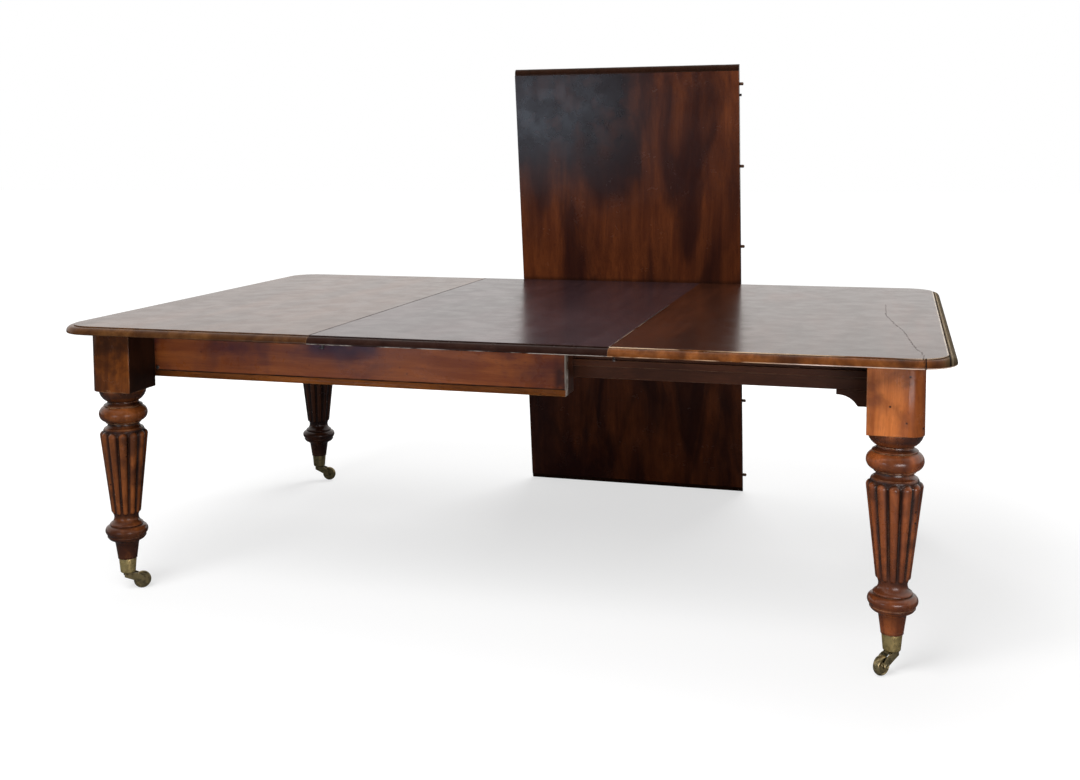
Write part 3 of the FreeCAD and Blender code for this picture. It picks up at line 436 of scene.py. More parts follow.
# Lines along joints and arrises, where dirt gathers or the polish has gone, and lines of painted highlight and
# painted shade along the moulds, the apron's end and the legs.
leftJoint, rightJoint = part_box("fitted_leaf")[0].x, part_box("fitted_leaf")[1].x
leafFoot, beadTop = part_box("fitted_leaf")[0].z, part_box("front_apron_bead")[1].z
apronEnd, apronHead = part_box("front_apron")[1].x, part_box("front_apron")[1].z
rightEnd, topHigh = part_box("right_top")[1].x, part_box("right_top")[1].z
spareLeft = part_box("spare_leaf")[0].x
chipPlace = 1046 * mm
bloomHeight, bloomReach = 1340 * mm, 360 * mm
stainReach = 300 * mm
lineLook = {
    "axis": (0, 0, 1), "patchy": 0.3, "patchScale": 16.0, "tone": (0.010, 0.006, 0.005), "matt": 1,
    "stopAxis": (0, 0, 0), "stop": 1,
}


def levelLine(place, width, **changes):
    # A line at a height.
    return dict(lineLook, place=place, width=width * mm, **changes)


def crossLine(place, width, **changes):
    # A line across the table, at a place along it.
    return dict(lineLook, axis=(1, 0, 0), place=place, width=width * mm, **changes)


lines = {
    "leftJoint": crossLine(leftJoint, 3.4),
    "rightJoint": crossLine(rightJoint, 2.6, patchy=0.6, stopAxis=(0, 1, 0), stop=-50 * mm),
    "wornJoint": crossLine(rightJoint + 1.4 * mm, 1.5, patchy=1.0, tone=(0.20, 0.13, 0.09),
                        stopAxis=(0, 1, 0), stop=-450 * mm),
    # quirk: a painted highlight along the arris where the face meets the mould.
    "quirk": levelLine(topHigh - 0.9 * mm, 1.7, patchy=1.0, patchScale=5.0, tone=(0.50, 0.37, 0.25),
                       matt=0.3),
    # On the right end's mould: painted shade over the end, a pale line along the thumb, painted shadow in the
    # quirk and a painted highlight on the face's arris.
    "endShade": crossLine(rightEnd, 44, patchy=0.15, tone=(0.060, 0.040, 0.013), matt=0.7),
    "endLight": crossLine(rightEnd - 12.5 * mm, 2.2, patchy=0.6, tone=(0.29, 0.225, 0.145), matt=0.3),
    "endQuirkShadow": crossLine(rightEnd - 17.6 * mm, 2.8, patchy=0.1),
    "endArrisHighlight": crossLine(rightEnd - 21.0 * mm, 2.4, patchy=0.6, tone=(0.45, 0.36, 0.27), matt=0.3),
    "chip": crossLine(chipPlace, 2.6, patchy=0.1, stopAxis=(0, 1, 0), stop=-700 * mm),
    "bead": levelLine(beadTop + 0.6 * mm, 3.2, patchy=0.2, tone=(0.014, 0.006, 0.004)),
    "apronEnd": crossLine(apronEnd, 3.4, patchy=0.6, tone=(0.38, 0.33, 0.28)),
    "apronShade": crossLine(apronEnd - 10 * mm, 26, patchy=0.8, patchScale=9.0, tone=(0.07, 0.022, 0.016),
                         matt=0),
    "endPale": levelLine(beadTop + 10 * mm, 46, patchy=0.8, patchScale=30.0, tone=(0.62, 0.56, 0.50)),
    "footShade": levelLine(125 * mm, 110, patchy=0.55, patchScale=12.0, tone=(0.045, 0.014, 0.007), matt=0),
    "ringShade": levelLine(175 * mm, 90, patchy=0.9, patchScale=12.0, tone=(0.10, 0.028, 0.011), matt=0),
    # A painted highlight along the right mould's lower arris, over the leg.
    "legArrisHighlight": levelLine(leafFoot + 1.0 * mm, 1.8, patchy=0.5, patchScale=5.0, tone=(0.95, 0.76, 0.64),
                      stopAxis=(-1, 0, 0), stop=-840 * mm, matt=0.3),
    "apronStain": levelLine(apronHead - 4 * mm, 92, patchy=0.9, patchScale=3.2, tone=(0.055, 0.016, 0.034),
                        stopAxis=(1, 0, 0), stop=leftJoint + stainReach, matt=0),
    "spareBloom": levelLine(bloomHeight, 420, patchy=0.15, tone=(0.013, 0.007, 0.007),
                        stopAxis=(1, 0, 0), stop=spareLeft + bloomReach, matt=0),
    # The lower arrises of the leaf and of the right section: worn pale, with a painted highlight.
    "leafArrisWearAndHighlight": levelLine(leafFoot + 1.2 * mm, 1.2, patchy=1.0, tone=(0.46, 0.40, 0.35)),
    "rightArrisWearAndHighlight": levelLine(leafFoot + 1.2 * mm, 1.3, patchy=1.0, tone=(0.56, 0.36, 0.22), matt=0.3),
}
woodLook = {
    "grain": "x", "dark": (0.020, 0.007, 0.004), "middle": (0.075, 0.022, 0.009),
    "light": (0.150, 0.048, 0.017), "grime": (0.010, 0.005, 0.004), "bare": (0.36, 0.20, 0.10),
    "figure": 0.5, "figureScale": 5.0, "pores": 0.4, "blotch": 0.25, "blotchScale": 7.0,
    "recess": 0.7, "recessReach": 20 * mm, "knocks": 0.5, "wear": 0.6, "wearRadius": 3 * mm,
    "gloss": (0.16, 0.26), "bump": 0.25, "specular": 0.4, "grooves": 0, "cracked": False,
    "shift": (0, 0, 0), "lines": (),
}
legLook = dict(
    woodLook, grain="z", figure=0.45, recess=0.94, recessReach=16 * mm, grime=(0.012, 0.005, 0.004),
    gloss=(0.18, 0.29), knocks=1.0, blotch=0.7, specular=0.33, blotchScale=13.0, grooves=0.95, wear=0.8,
    wearRadius=3.5 * mm, bare=(0.60, 0.33, 0.17))
mouldLook = dict(
    woodLook, grain="y", gloss=(0.20, 0.30), bump=0.15, wear=0.55, wearRadius=2.2 * mm, recess=0.85,
    recessReach=6 * mm, figureScale=9.0, knocks=0.6, specular=0.22)
faceLook = dict(
    woodLook, grain="y", middle=(0.050, 0.018, 0.008), light=(0.085, 0.031, 0.012), gloss=(0.21, 0.26),
    bump=0.03, wear=0, knocks=0.2, specular=0.48, recessReach=12 * mm)
frameLook = dict(woodLook, gloss=(0.24, 0.36), specular=0.18)
backShadeLook = dict(legLook, bare=(0.20, 0.10, 0.05))
woodLooks = {
    "leftFace": dict(faceLook, figureScale=4.0, specular=0.51, lines=("leftJoint",)),
    "leafFace": dict(
        faceLook, dark=(0.018, 0.011, 0.014), middle=(0.036, 0.020, 0.024), light=(0.054, 0.030, 0.033),
        gloss=(0.22, 0.27), lines=("leftJoint", "rightJoint")),
    "rightFace": dict(
        faceLook, middle=(0.040, 0.013, 0.007), light=(0.066, 0.021, 0.010), figure=0.7,
        gloss=(0.20, 0.25), specular=0.45, cracked=True, lines=("rightJoint", "wornJoint", "endArrisHighlight")),
    "leftMould": dict(
        mouldLook, middle=(0.054, 0.020, 0.006), light=(0.115, 0.048, 0.015), specular=0.15),
    "leafMould": dict(
        mouldLook, middle=(0.012, 0.005, 0.004), light=(0.024, 0.011, 0.008), wear=0.3,
        bare=(0.15, 0.10, 0.08), specular=0.07, lines=("leafArrisWearAndHighlight",)),
    # Its lines add painted shade and highlights at the end and along the arrises, besides the crack's chip.
    "rightMould": dict(
        mouldLook, dark=(0.030, 0.010, 0.005), middle=(0.105, 0.031, 0.007), light=(0.23, 0.077, 0.020),
        figure=0.8, cracked=True, specular=0.1,
        lines=("endShade", "endLight", "endQuirkShadow", "quirk", "rightArrisWearAndHighlight", "legArrisHighlight", "chip")),
    "spareFace": dict(
        woodLook, grain="z", dark=(0.015, 0.005, 0.005), middle=(0.077, 0.019, 0.007),
        light=(0.148, 0.039, 0.0115), figure=0.78, figureScale=7.5, gloss=(0.20, 0.28),
        shift=(0, 0, 0.33), bump=0.02, blotch=0.35, blotchScale=2.2, knocks=0, wear=0, specular=0.34,
        lines=("spareBloom",)),
    "spareMould": dict(
        mouldLook, grain="z", middle=(0.014, 0.006, 0.003), light=(0.028, 0.010, 0.005), wear=0.25,
        bare=(0.15, 0.08, 0.05), specular=0.1),
    "apronWood": dict(
        frameLook, dark=(0.066, 0.019, 0.024), middle=(0.275, 0.061, 0.013), light=(0.51, 0.141, 0.030),
        figureScale=3.5, blotch=0.7, blotchScale=4.0,
        lines=("apronStain", "apronShade", "bead", "apronEnd")),
    "beadWood": dict(
        frameLook, middle=(0.25, 0.066, 0.011), light=(0.45, 0.142, 0.027), figure=0.45, wear=0.9,
        bare=(0.42, 0.20, 0.07), lines=("bead", "apronEnd")),
    "endGrain": dict(
        woodLook, grain="z", middle=(0.20, 0.155, 0.120), light=(0.42, 0.355, 0.290),
        dark=(0.05, 0.030, 0.022), figureScale=30.0, gloss=(0.55, 0.75), wear=0.9,
        bare=(0.45, 0.40, 0.34), specular=0.3, lines=("endPale",)),
    "endRailWood": dict(
        frameLook, grain="y", middle=(0.18, 0.050, 0.016), light=(0.32, 0.105, 0.032), specular=0.25,
        lines=("bead",)),
    "slideWood": dict(
        woodLook, middle=(0.062, 0.019, 0.008), light=(0.112, 0.036, 0.015), figure=0.4,
        gloss=(0.38, 0.52), wear=0.8, bare=(0.28, 0.15, 0.085), specular=0.18),
    "crossWood": dict(
        woodLook, grain="y", middle=(0.10, 0.042, 0.020), light=(0.17, 0.080, 0.040), figure=0.25,
        gloss=(0.42, 0.55), wear=0.5, specular=0.25),
    # The legs' finishes are lit and shaded copies of one wood: painted light on the right legs, painted shade on
    # the left ones and more on the back ones.
    "rightBlockWood": dict(
        legLook, middle=(0.320, 0.082, 0.017), light=(0.56, 0.170, 0.039), dark=(0.120, 0.031, 0.011),
        blotch=0.75, blotchScale=9.0, figure=0.3, figureScale=12.0, specular=0.25),
    "rightLegWood": dict(
        legLook, middle=(0.168, 0.038, 0.010), light=(0.38, 0.103, 0.025), dark=(0.05, 0.014, 0.006),
        gloss=(0.22, 0.34), specular=0.62, lines=("ringShade",)),
    "leftBlockWood": dict(
        legLook, middle=(0.115, 0.030, 0.004), light=(0.23, 0.064, 0.009), dark=(0.030, 0.009, 0.004)),
    "leftLegWood": dict(
        legLook, middle=(0.140, 0.037, 0.008), light=(0.30, 0.087, 0.020), dark=(0.035, 0.011, 0.005),
        lines=("footShade",)),
    "backBlockWood": dict(backShadeLook, middle=(0.055, 0.017, 0.007), light=(0.115, 0.036, 0.012)),
    "backLegWood": dict(
        backShadeLook, middle=(0.034, 0.010, 0.004), light=(0.076, 0.023, 0.008), dark=(0.016, 0.006, 0.004)),
    # The blocks' inward sides, in painted shade.
    "insideShadeWood": dict(
        legLook, middle=(0.022, 0.007, 0.003), light=(0.045, 0.016, 0.007), dark=(0.010, 0.004, 0.003),
        gloss=(0.3, 0.42), specular=0.12, wear=0.3),
    "jointShade": dict(
        woodLook, grain="y", middle=(0.014, 0.008, 0.006), light=(0.024, 0.014, 0.010),
        gloss=(0.6, 0.8), specular=0.15, wear=0, recess=0),
    "jointWorn": dict(
        woodLook, grain="y", dark=(0.03, 0.015, 0.01), middle=(0.12, 0.080, 0.055),
        light=(0.20, 0.14, 0.10), figure=0.9, figureScale=14.0, gloss=(0.5, 0.7), specular=0.2,
        wear=0, recess=0),
    "pegWood": dict(
        woodLook, middle=(0.085, 0.040, 0.022), light=(0.15, 0.075, 0.040), gloss=(0.4, 0.5)),
}


def oldMetal(name, look):
    material, tree, shader, coords = newMaterial(name)
    old = addGroup(tree, oldPolish, {"Vector": coords, "Reach": 6 * mm, "Blotch Scale": 90.0})
    worn = addGroup(tree, edgeWear, {"Vector": coords, "Radius": 1.2 * mm, "Amount": look["wear"]})
    tarnish = times(tree, old["Blotch"], look["tarnish"])
    colour = addMix(tree, tarnish, look["colour"], look["dull"])
    # Painted shade with grime in the metal's hollows.
    colour = addMix(tree, old["Recess"], colour, look["grime"])
    colour = addMix(tree, worn["Mask"], colour, look["bright"])
    gloss = addRange(tree, addNoise(tree, coords, 160, 4), 0.3, 0.7, *look["gloss"])
    bump = addNode(tree, "Bump", {"Strength": 0.2, "Distance": 0.3 * mm,
                                  "Height": addNoise(tree, coords, 420, 3)})
    wire(tree, shader, {"Base Color": colour, "Metallic": look["metal"], "Roughness": gloss,
                        "Normal": bump.outputs[0]})
    return material


metalLooks = {
    "oldBrass": dict(
        colour=(0.76, 0.57, 0.24), dull=(0.44, 0.32, 0.13), grime=(0.05, 0.035, 0.02),
        bright=(0.95, 0.78, 0.42), tarnish=0.75, wear=0.7, gloss=(0.26, 0.44), metal=0.85),
    "wheelBrass": dict(
        colour=(0.46, 0.36, 0.18), dull=(0.20, 0.16, 0.085), grime=(0.025, 0.020, 0.013),
        bright=(0.86, 0.72, 0.42), tarnish=0.85, wear=0.9, gloss=(0.24, 0.42), metal=0.85),
    "shadeBrass": dict(
        colour=(0.27, 0.21, 0.10), dull=(0.12, 0.095, 0.05), grime=(0.018, 0.014, 0.010),
        bright=(0.52, 0.42, 0.24), tarnish=0.85, wear=0.7, gloss=(0.28, 0.46), metal=0.8),
    "oldSteel": dict(
        colour=(0.36, 0.35, 0.34), dull=(0.16, 0.13, 0.11), grime=(0.04, 0.03, 0.03),
        bright=(0.62, 0.62, 0.62), tarnish=0.7, wear=0.5, gloss=(0.32, 0.5), metal=1),
    "darkIron": dict(
        colour=(0.10, 0.09, 0.085), dull=(0.05, 0.035, 0.03), grime=(0.02, 0.015, 0.012),
        bright=(0.26, 0.24, 0.22), tarnish=0.8, wear=0.6, gloss=(0.42, 0.6), metal=0.9),
}
finishes = {name: polishedWood(name, look) for name, look in woodLooks.items()}
finishes.update({name: oldMetal(name, look) for name, look in metalLooks.items()})
print("finishes ready:", len(finishes))


# Shared shaping

broadFace = 7 * mm      # a face wider than this is flat, and shaded so
facing = {"end": 0.6, "inside": 0.9, "up": 0.999}    # how squarely a face has to look that way
# Distances that count as none, in metres.
gaps = {"weld": 1e-7, "cadWeld": 2e-6, "same": 1e-6, "joint": 1e-5, "face": 1e-4}
bodyOf = {node: body for body, nodes in frame["record"]["behaviour"]["bodies"].items() for node in nodes}


def profilePoints(corners, turnStep=12):
    # A corner is (r, z) or (r, z, radius of the stretch that leaves it); a positive radius bulges right.
    # Arcs get a point about every turnStep degrees.
    points = []
    for index, corner in enumerate(corners):
        start = Vector(corner[:2])
        points.append(start)
        if len(corner) == 2:
            continue
        end = Vector(corners[index + 1][:2])
        radius = corner[2]
        chord = end - start
        half = chord.length / 2
        left = Vector((-chord.y, chord.x)).normalized()
        rise = math.sqrt(max(radius * radius - half * half, 0))
        centre = (start + end) / 2 + left * math.copysign(rise, radius)
        swing = 2 * math.asin(min(1, half / abs(radius)))
        count = max(2, round(math.degrees(swing) / turnStep))
        first = start - centre
        for step in range(1, count):
            turn = math.copysign(swing, radius) * step / count
            points.append(centre + Vector((first.x * math.cos(turn) - first.y * math.sin(turn),
                                           first.x * math.sin(turn) + first.y * math.cos(turn))))
    return points


def chain(bm, points):
    verts = [bm.verts.new(point) for point in points]
    edges = [bm.edges.new(pair) for pair in zip(verts, verts[1:])]
    return verts + edges


def weld(bm, gap="weld"):
    bmesh.ops.remove_doubles(bm, verts=bm.verts, dist=gaps[gap])


def spin(bm, geom, steps, centre=(0, 0, 0), travel=(0, 0, 0), angle=0, merge=False):
    made = bmesh.ops.spin(bm, geom=geom, cent=centre, axis=(0, 0, 1), dvec=travel, angle=angle,
                          steps=steps, use_merge=merge)
    return made["geom_last"]


def spinProfile(bm, corners, steps):
    geom = chain(bm, [(point.x, 0, point.y) for point in profilePoints(corners)])
    spin(bm, geom, steps, angle=2 * math.pi, merge=True)
    weld(bm)
    bmesh.ops.recalc_face_normals(bm, faces=bm.faces)


def bevelEdges(bm, edges, width, segments):
    made = bmesh.ops.bevel(bm, geom=edges, offset=width, segments=segments, profile=0.5,
                           affect="EDGES", material=-1, clamp_overlap=True)
    return made["faces"]


def isSharp(edge, angle):
    return len(edge.link_faces) == 2 and edge.calc_face_angle(0) > math.radians(angle)


def bevelSharp(bm, width, segments, angle=35):
    bevelEdges(bm, [edge for edge in bm.edges if isSharp(edge, angle)], width, segments)


def finishPiece(bm, name, node, finish, sharpAngle=40):
    # finish is one finish, or several in the order of the faces' material numbers.
    for face in bm.faces:
        longest = max(edge.calc_length() for edge in face.edges)
        face.smooth = face.calc_area() < broadFace * longest
    for edge in bm.edges:
        edge.smooth = not isSharp(edge, sharpAngle)
    mesh = bpy.data.meshes.new(name)
    bm.to_mesh(mesh)
    bm.free()
    for one in [finish] if isinstance(finish, str) else finish:
        mesh.materials.append(finishes[one])
    piece = bpy.data.objects.new(name, mesh)
    bpy.context.scene.collection.objects.link(piece)
    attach(piece, bodyOf[node])
    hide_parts(node)


def nodeCopy(node):
    # A CAD node's solid as one welded mesh, with its flat faces whole.
    bm = bmesh.new()
    bm.from_mesh(frame["nodes"][node].data)
    weld(bm, "cadWeld")
    bmesh.ops.dissolve_limit(bm, angle_limit=math.radians(0.5), verts=bm.verts, edges=bm.edges)
    return bm


def dressed(node, name, finish, arris, segments=2):
    # A second finish goes on the end grain, where the piece's ends face along X.
    bm = nodeCopy(node)
    bevelSharp(bm, arris, segments)
    if not isinstance(finish, str):
        for face in bm.faces:
            face.material_index = int(abs(face.normal.x) > facing["end"])
    finishPiece(bm, name, node, finish)


# The top

boardSet = {
    "corner": 100 * mm, "quirk": 3 * mm, "run": 19 * mm, "thumb": 14 * mm, "arris": 2.5 * mm,
    "faceArris": 0.7 * mm, "jointArris": 0.9 * mm, "runStep": 24 * mm, "cornerSteps": 14,
    "sharpAngle": 30,
    # Rubbing by use: its depth, how fine its waves are, and how much more the lower arris gets.
    "wear": 0.7 * mm, "wearBias": 0.1, "wearScale": 22.0, "fineScale": 4.1, "fineShare": 0.3,
    "wearHigh": 0.25, "lowReach": 8 * mm,
}


def mouldingPoints(thick):
    # From the underside, round the worn lower arris and the thumb, along the quirk, up to the face.
    s = boardSet
    ledge = thick - s["quirk"]
    corners = [(s["arris"], 0, -s["arris"]), (0, s["arris"]), (0, ledge - s["thumb"], -s["thumb"]),
               (s["thumb"], ledge), (s["run"], ledge), (s["run"], thick - s["faceArris"], -s["faceArris"]),
               (s["run"] + s["faceArris"], thick)]
    return profilePoints(corners, 15)


def runAlong(bm, geom, x, y):
    travel = Vector((x, y, 0))
    steps = max(1, round(travel.length / boardSet["runStep"]))
    return spin(bm, geom, steps, travel=travel / steps)


def turnCorner(bm, geom, x, y):
    return spin(bm, geom, boardSet["cornerSteps"], centre=(x, y, 0), angle=math.radians(-90))


def wearEdges(bm, low, high, side):
    # Only the mould is rubbed, and only inwards. The end at side -1 or 1 is moulded too.
    s = boardSet
    for vert in bm.verts:
        inFront = vert.co.y - low.y
        inBack = high.y - vert.co.y
        inside = min(inFront, inBack)
        if side:
            inEnd = vert.co.x - low.x if side < 0 else high.x - vert.co.x
            inside = min(inside, inEnd)
        if inside > s["run"] - gaps["same"] and vert.co.z > low.z + gaps["same"]:
            continue
        broad = noise.noise(vert.co * s["wearScale"])
        fine = noise.noise(vert.co * s["wearScale"] * s["fineScale"])
        rub = broad * (1 - s["fineShare"]) + fine * s["fineShare"]
        lowEdge = 1 - min(1, (vert.co.z - low.z) / s["lowReach"])
        amount = max(0, rub + s["wearBias"]) * s["wear"] * (s["wearHigh"] + lowEdge)
        if inFront < s["run"]:
            vert.co.y += amount
        elif inBack < s["run"]:
            vert.co.y -= amount
        else:
            vert.co.x -= amount * side


def roundedBoard(low, high, side):
    # A section with both of its outer corners rounded; its joint is at the other side.
    # Built as the left section, then turned half round for the right one.
    bm = bmesh.new()
    corner = boardSet["corner"]
    length = high.x - low.x
    wide = high.y - low.y
    geom = chain(bm, [(length, -wide / 2 + point.x, point.y) for point in mouldingPoints(high.z - low.z)])
    geom = runAlong(bm, geom, corner - length, 0)
    geom = turnCorner(bm, geom, corner, corner - wide / 2)
    geom = runAlong(bm, geom, 0, wide - 2 * corner)
    geom = turnCorner(bm, geom, corner, wide / 2 - corner)
    runAlong(bm, geom, length - corner, 0)
    weld(bm)
    # The two ends of the moulding are joined above and below, and every open outline is filled.
    ends = [vert for vert in bm.verts if abs(vert.co.x - length) < gaps["same"]]
    front = [vert for vert in ends if vert.co.y < 0]
    back = [vert for vert in ends if vert.co.y > 0]
    for choose in (min, max):
        bm.edges.new([choose(group, key=lambda vert: vert.co.z) for group in (front, back)])
    rims = [edge for edge in bm.edges if len(edge.link_faces) < 2]
    bmesh.ops.holes_fill(bm, edges=rims, sides=0)
    bmesh.ops.recalc_face_normals(bm, faces=bm.faces)
    turn = Matrix.Identity(4) if side < 0 else Matrix.Rotation(math.pi, 4, "Z")
    middle = Vector((low.x if side < 0 else high.x, (low.y + high.y) / 2, low.z))
    bmesh.ops.transform(bm, matrix=Matrix.Translation(middle) @ turn, verts=bm.verts)
    return bm


def squareBoard(long, wide, thick):
    # A loose leaf: moulded at its two ends, square along its joints. Low corner at x = 0, z = 0.
    bm = bmesh.new()
    points = mouldingPoints(thick)
    outline = [(0, -wide / 2 + point.x, point.y) for point in points]
    outline += [(0, wide / 2 - point.x, point.y) for point in reversed(points)]
    face = bm.faces.new([bm.verts.new(point) for point in outline])
    steps = round(long / boardSet["runStep"])
    spin(bm, [face] + list(face.edges) + list(face.verts), steps, travel=(long / steps, 0, 0))
    bmesh.ops.recalc_face_normals(bm, faces=bm.faces)
    return bm


def easeJoint(bm, x):
    # The top arris of a joint is just broken.
    top = max(vert.co.z for vert in bm.verts)

    def onArris(vert):
        return max(abs(vert.co.x - x), abs(vert.co.z - top)) < gaps["joint"]

    edges = [edge for edge in bm.edges if all(onArris(vert) for vert in edge.verts)]
    for face in bevelEdges(bm, edges, boardSet["jointArris"], 2):
        face.material_index = 2


def markMould(bm, high):
    # The flat upper face keeps finish 0; the mould round it and the underside get 1, the joints 2.
    for face in bm.faces:
        flat = face.normal.z > facing["up"] and face.calc_center_median().z > high - gaps["face"]
        face.material_index = 0 if flat else max(1, face.material_index)


def flatLeaf(low, high):
    # A loose leaf lying in the box from low to high.
    size = high - low
    bm = squareBoard(size.x, size.y, size.z)
    bmesh.ops.translate(bm, vec=(low.x, (low.y + high.y) / 2, low.z), verts=bm.verts)
    wearEdges(bm, low, high, 0)
    for x in (low.x, high.x):
        easeJoint(bm, x)
    markMould(bm, high.z)
    return bm


def spareLean():
    # The joint that lifts the spare leaf runs up its face, so it gives the lean.
    axis = next(Vector(joint["axis"]) for joint in frame["joints"] if joint["name"] == "spare_leaf_lift")
    return math.radians(90) + math.atan2(-axis.y, axis.z)


def makeTop():
    for word, side, joint in (("left", -1, "jointShade"), ("right", 1, "jointWorn")):
        node = word + "_top"
        low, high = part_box(node)
        bm = roundedBoard(low, high, side)
        wearEdges(bm, low, high, side)
        easeJoint(bm, high.x if side < 0 else low.x)
        markMould(bm, high.z)
        finishPiece(bm, word + "Top", node, [word + "Face", word + "Mould", joint], boardSet["sharpAngle"])
    low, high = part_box("fitted_leaf")
    bm = flatLeaf(low, high)
    finishPiece(bm, "fittedLeaf", "fitted_leaf", ["leafFace", "leafMould", "jointShade"],
                boardSet["sharpAngle"])
    # The spare leaf is the same board, tipped up and set against the table.
    size = high - low
    flatLow = Vector((0, -size.y / 2, 0))
    bm = flatLeaf(flatLow, flatLow + size)
    bmesh.ops.rotate(bm, cent=(0, 0, 0), matrix=Matrix.Rotation(spareLean(), 3, "X"), verts=bm.verts)
    corner = Vector([min(vert.co[axis] for vert in bm.verts) for axis in range(3)])
    bmesh.ops.translate(bm, vec=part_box("spare_leaf")[0] - corner, verts=bm.verts)
    finishPiece(bm, "spareLeaf", "spare_leaf", ["spareFace", "spareMould", "jointShade"],
                boardSet["sharpAngle"])


makeTop()
print("top boards made")


# The underframe

def makeUnderframe():
    for word in ("front", "back"):
        dressed(f"{word}_apron", f"{word}Apron", ["apronWood", "endGrain"], 1.2 * mm)
        dressed(f"{word}_apron_bead", f"{word}ApronBead", ["beadWood", "endGrain"], 1.0 * mm)
        dressed(f"{word}_middle_slide", f"{word}MiddleSlide", "slideWood", 1.5 * mm)
        dressed(f"{word}_inner_rail", f"{word}InnerRail", "slideWood", 1.5 * mm)
        dressed(f"{word}_bracket", f"{word}Bracket", "slideWood", 1.2 * mm)
    for word in ("left", "right"):
        dressed(f"{word}_end_rail", f"{word}EndRail", "endRailWood", 1.0 * mm)
        dressed(f"{word}_end_bead", f"{word}EndBead", "endRailWood", 1.0 * mm)
    for node, name in (("middle_cross_rail", "middleCrossRail"), ("inner_cross_rail", "innerCrossRail"),
                       ("right_cross_rail", "rightCrossRail"), ("left_top_batten", "leftTopBatten")):
        dressed(node, name, "crossWood", 2.0 * mm)


makeUnderframe()
print("underframe made")


# Legs

legSet = {
    "steps": 192, "blockFoot": 549 * mm, "blockSide": 124 * mm, "blockCorner": 36 * mm,
    "cornerSteps": 14, "blockArris": 1.6 * mm, "sharpAngle": 38, "reeds": 12,
    "reedFoot": 220 * mm, "reedFootRadius": 7.6 * mm, "reedFootOut": 30.9 * mm,
    "reedTop": 427 * mm, "reedTopRadius": 12.3 * mm, "reedTopOut": 49.7 * mm,
    "coreFoot": 212 * mm, "coreTop": 441 * mm, "coreFootRadius": 33.5 * mm, "coreTopRadius": 53 * mm,
    "coreRings": 84, "ringCrowding": 0.75,
    # Where polish and dust gather between the reeds, with painted shade, as shares of their depth.
    "grimeAndShadeStart": 0.22, "grimeAndShadeFade": 0.5,
    # And in the turning, dust with painted shade in the coves, over the lower bun and under the block: level,
    # reach, depth of colour.
    "coves": ((89 * mm, 4 * mm, 0.7), (131 * mm, 9 * mm, 0.45), (150 * mm, 5 * mm, 0.9),
              (165 * mm, 18 * mm, 0.35), (181 * mm, 3.5 * mm, 0.9), (192 * mm, 9 * mm, 0.75),
              (205 * mm, 9 * mm, 0.85), (448 * mm, 8 * mm, 0.6), (457 * mm, 5 * mm, 0.95),
              (511 * mm, 8 * mm, 0.8), (536 * mm, 22 * mm, 0.85)),
}
# The turning's outline in millimetres, below and above the reeds. It ends inside the block.
legFoot = [
    (0, 54), (17.9, 54), (20.8, 89), (24.6, 89, 1.4), (25.4, 90.2), (25.4, 95.4, 1.2), (25.9, 96.6),
    (30.6, 130, -13), (39.5, 140.5, 14), (49.5, 149, 1.0), (50.6, 149.9), (50.6, 152.4, 0.8),
    (49.9, 153.2), (51.2, 156.5, 13.9), (47, 179.5), (42.5, 180.5), (43.2, 181.5, 4.2), (41, 187, -18),
    (31.8, 203), (31.8, 205.5), (33.5, 212),
]
legNeck = [
    (53, 441), (50.5, 446, -12), (41, 455), (41, 458.5), (45.2, 459.6, 2.2), (45.6, 463),
    (46.5, 463.5, 21.8), (49, 505), (49.6, 505.6, 1.9), (49, 509), (41.5, 513), (40.5, 514.4),
    (40.5, 518, 38), (61.5, 549), (61.5, 553), (0, 553),
]


def between(key, part, share):
    # A size of the reeds or the core, at a share of the way from its foot to its top.
    foot, top = legSet[f"{part}Foot{key}"], legSet[f"{part}Top{key}"]
    return foot + (top - foot) * share


def shareUp(part, z):
    return (z - legSet[part + "Foot"]) / (legSet[part + "Top"] - legSet[part + "Foot"])


def coreRadius(z):
    return between("Radius", "core", shareUp("core", z))


def onReed(z):
    # The nearest level where the reeds are whole. Past it they are domed.
    return min(max(z, legSet["reedFoot"]), legSet["reedTop"])


def reedReach(z, swing):
    # How far a reed's skin stands from the leg's axis, on a ray turned by swing from its crown.
    level = onReed(z)
    share = shareUp("reed", level)
    out = between("Out", "reed", share)
    radius = between("Radius", "reed", share)
    room = radius ** 2 - (z - level) ** 2 - (out * math.sin(swing)) ** 2
    return out * math.cos(swing) + math.sqrt(room) if room > 0 else 0


def carveReeds(bm):
    s = legSet
    pitch = 2 * math.pi / s["reeds"]
    # The reeds' hollows and the coves are darkened: dust, and painted shade.
    grime = bm.verts.layers.float.new("grime")
    for vert in bm.verts:
        z = vert.co.z
        radius = math.hypot(vert.co.x, vert.co.y)
        for cove, spread, depth in s["coves"]:
            vert[grime] = max(vert[grime], depth * max(0, 1 - abs(z - cove) / spread))
        if not s["coreFoot"] - gaps["same"] < z < s["coreTop"] + gaps["same"] or radius < 1 * mm:
            continue
        angle = math.atan2(vert.co.y, vert.co.x)
        swing = (angle + pitch / 2) % pitch - pitch / 2
        skin = max(coreRadius(z), reedReach(z, swing))
        crown = reedReach(onReed(z), 0)
        sunk = (crown - skin) / (crown - coreRadius(z))
        vert[grime] = max(0, min(1, (sunk - s["grimeAndShadeStart"]) / s["grimeAndShadeFade"]))
        vert.co.x *= skin / radius
        vert.co.y *= skin / radius


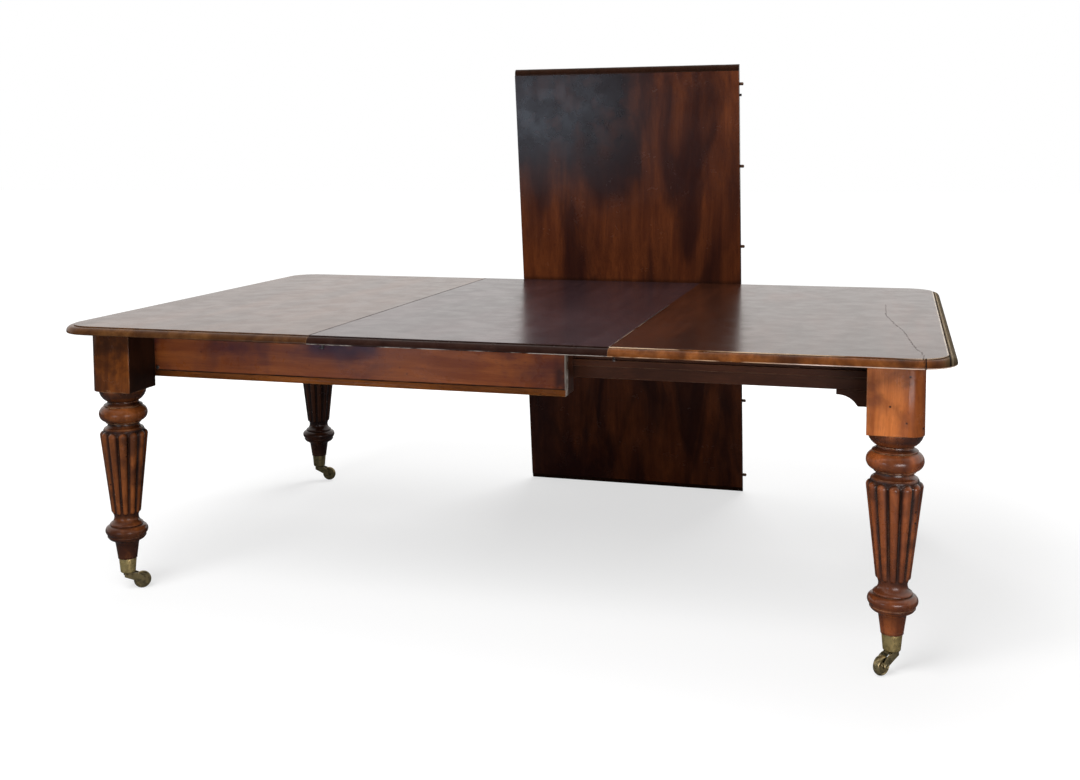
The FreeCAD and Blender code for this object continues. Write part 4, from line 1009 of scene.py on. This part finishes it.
def legCorners():
    # The core is given many rings, so that the reeds can be carved into it.
    s = legSet
    rings = []
    for step in range(1, s["coreRings"]):
        share = step / s["coreRings"]
        # Rings crowd towards both ends, where the reeds are domed.
        eased = share - math.sin(2 * math.pi * share) / (2 * math.pi) * s["ringCrowding"]
        z = s["coreFoot"] + (s["coreTop"] - s["coreFoot"]) * eased
        rings.append((coreRadius(z), z))
    below, above = ([tuple(value * mm for value in corner) for corner in part]
                    for part in (legFoot, legNeck))
    return below + rings + above


def legBlock(top, outX, outY):
    # The square block, with its outer corner rounded.
    s = legSet
    bm = bmesh.new()
    high = top - s["blockFoot"]
    verts = bmesh.ops.create_cube(bm, size=1)["verts"]
    bmesh.ops.scale(bm, vec=(s["blockSide"], s["blockSide"], high), verts=verts)
    bmesh.ops.translate(bm, vec=(0, 0, s["blockFoot"] + high / 2), verts=verts)
    upright = [edge for edge in bm.edges
               if all(vert.co.x * outX > 0 and vert.co.y * outY > 0 for vert in edge.verts)]
    bevelEdges(bm, upright, s["blockCorner"], s["cornerSteps"])
    bevelSharp(bm, s["blockArris"], 3, 40)
    mesh = bpy.data.meshes.new("block")
    bm.to_mesh(mesh)
    bm.free()
    return mesh


def makeLeg(node, name, tone):
    low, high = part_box(node)
    outX = -1 if low.x < 0 else 1
    outY = -1 if low.y < 0 else 1
    bm = bmesh.new()
    spinProfile(bm, legCorners(), legSet["steps"])
    carveReeds(bm)
    for face in bm.faces:
        face.material_index = 1
    turned = len(bm.faces)
    block = legBlock(high.z, outX, outY)
    bm.from_mesh(block)
    bpy.data.meshes.remove(block)
    bm.faces.ensure_lookup_table()
    for face in bm.faces[turned:]:
        # The block's two sides that face inwards, painted in shade.
        if min(face.normal.x * outX, face.normal.y * outY) < -facing["inside"]:
            face.material_index = 2
    axis = Vector(((low.x + high.x) / 2, (low.y + high.y) / 2, 0))
    bmesh.ops.translate(bm, vec=axis, verts=bm.verts)
    finishPiece(bm, name, node, [tone + "BlockWood", tone + "LegWood", "insideShadeWood"], legSet["sharpAngle"])


def makeCastor(place, name):
    # The front caps and the front right fork are the bright brass; the back castors and the front left fork take
    # shadeBrass, in painted shade.
    dressed(place + "_fork", name + "Fork", "wheelBrass" if name == "frontRight" else "shadeBrass",
            0.8 * mm, 3)
    dressed(place + "_cap", name + "Cap", "oldBrass" if name.startswith("front") else "shadeBrass",
            0.6 * mm)


# Each leg takes the copies for its side: painted light on the right, painted shade on the left and at the back.
legPlaces = [(word, end) for end in ("left", "right") for word in ("front", "back")]
for word, end in legPlaces:
    makeLeg(f"{word}_{end}_leg", f"{word}{end.capitalize()}Leg", "back" if word == "back" else end)
print("legs made")
for word, end in legPlaces:
    makeCastor(f"{word}_{end}", word + end.capitalize())
print("castors made")


# Everything else keeps its own solid

kept = {
    "wheelBrass": ["front_right_wheel", "front_right_axle"],
    # All wheels and axles but the front right ones take shadeBrass, in painted shade.
    "shadeBrass": ["_wheel", "_axle"],
    "darkIron": ["hook", "studs"],
    "oldSteel": ["screws", "bolts", "pins"],
    "pegWood": ["pegs"],
}
shown = [node for node in frame["nodes"].values() if not node.hide_render]
for node in shown:
    finish = next(key for key, words in kept.items() if any(word in node.name for word in words))
    node.data.materials.clear()
    node.data.materials.append(finishes[finish])
print("kept nodes dressed:", len(shown))
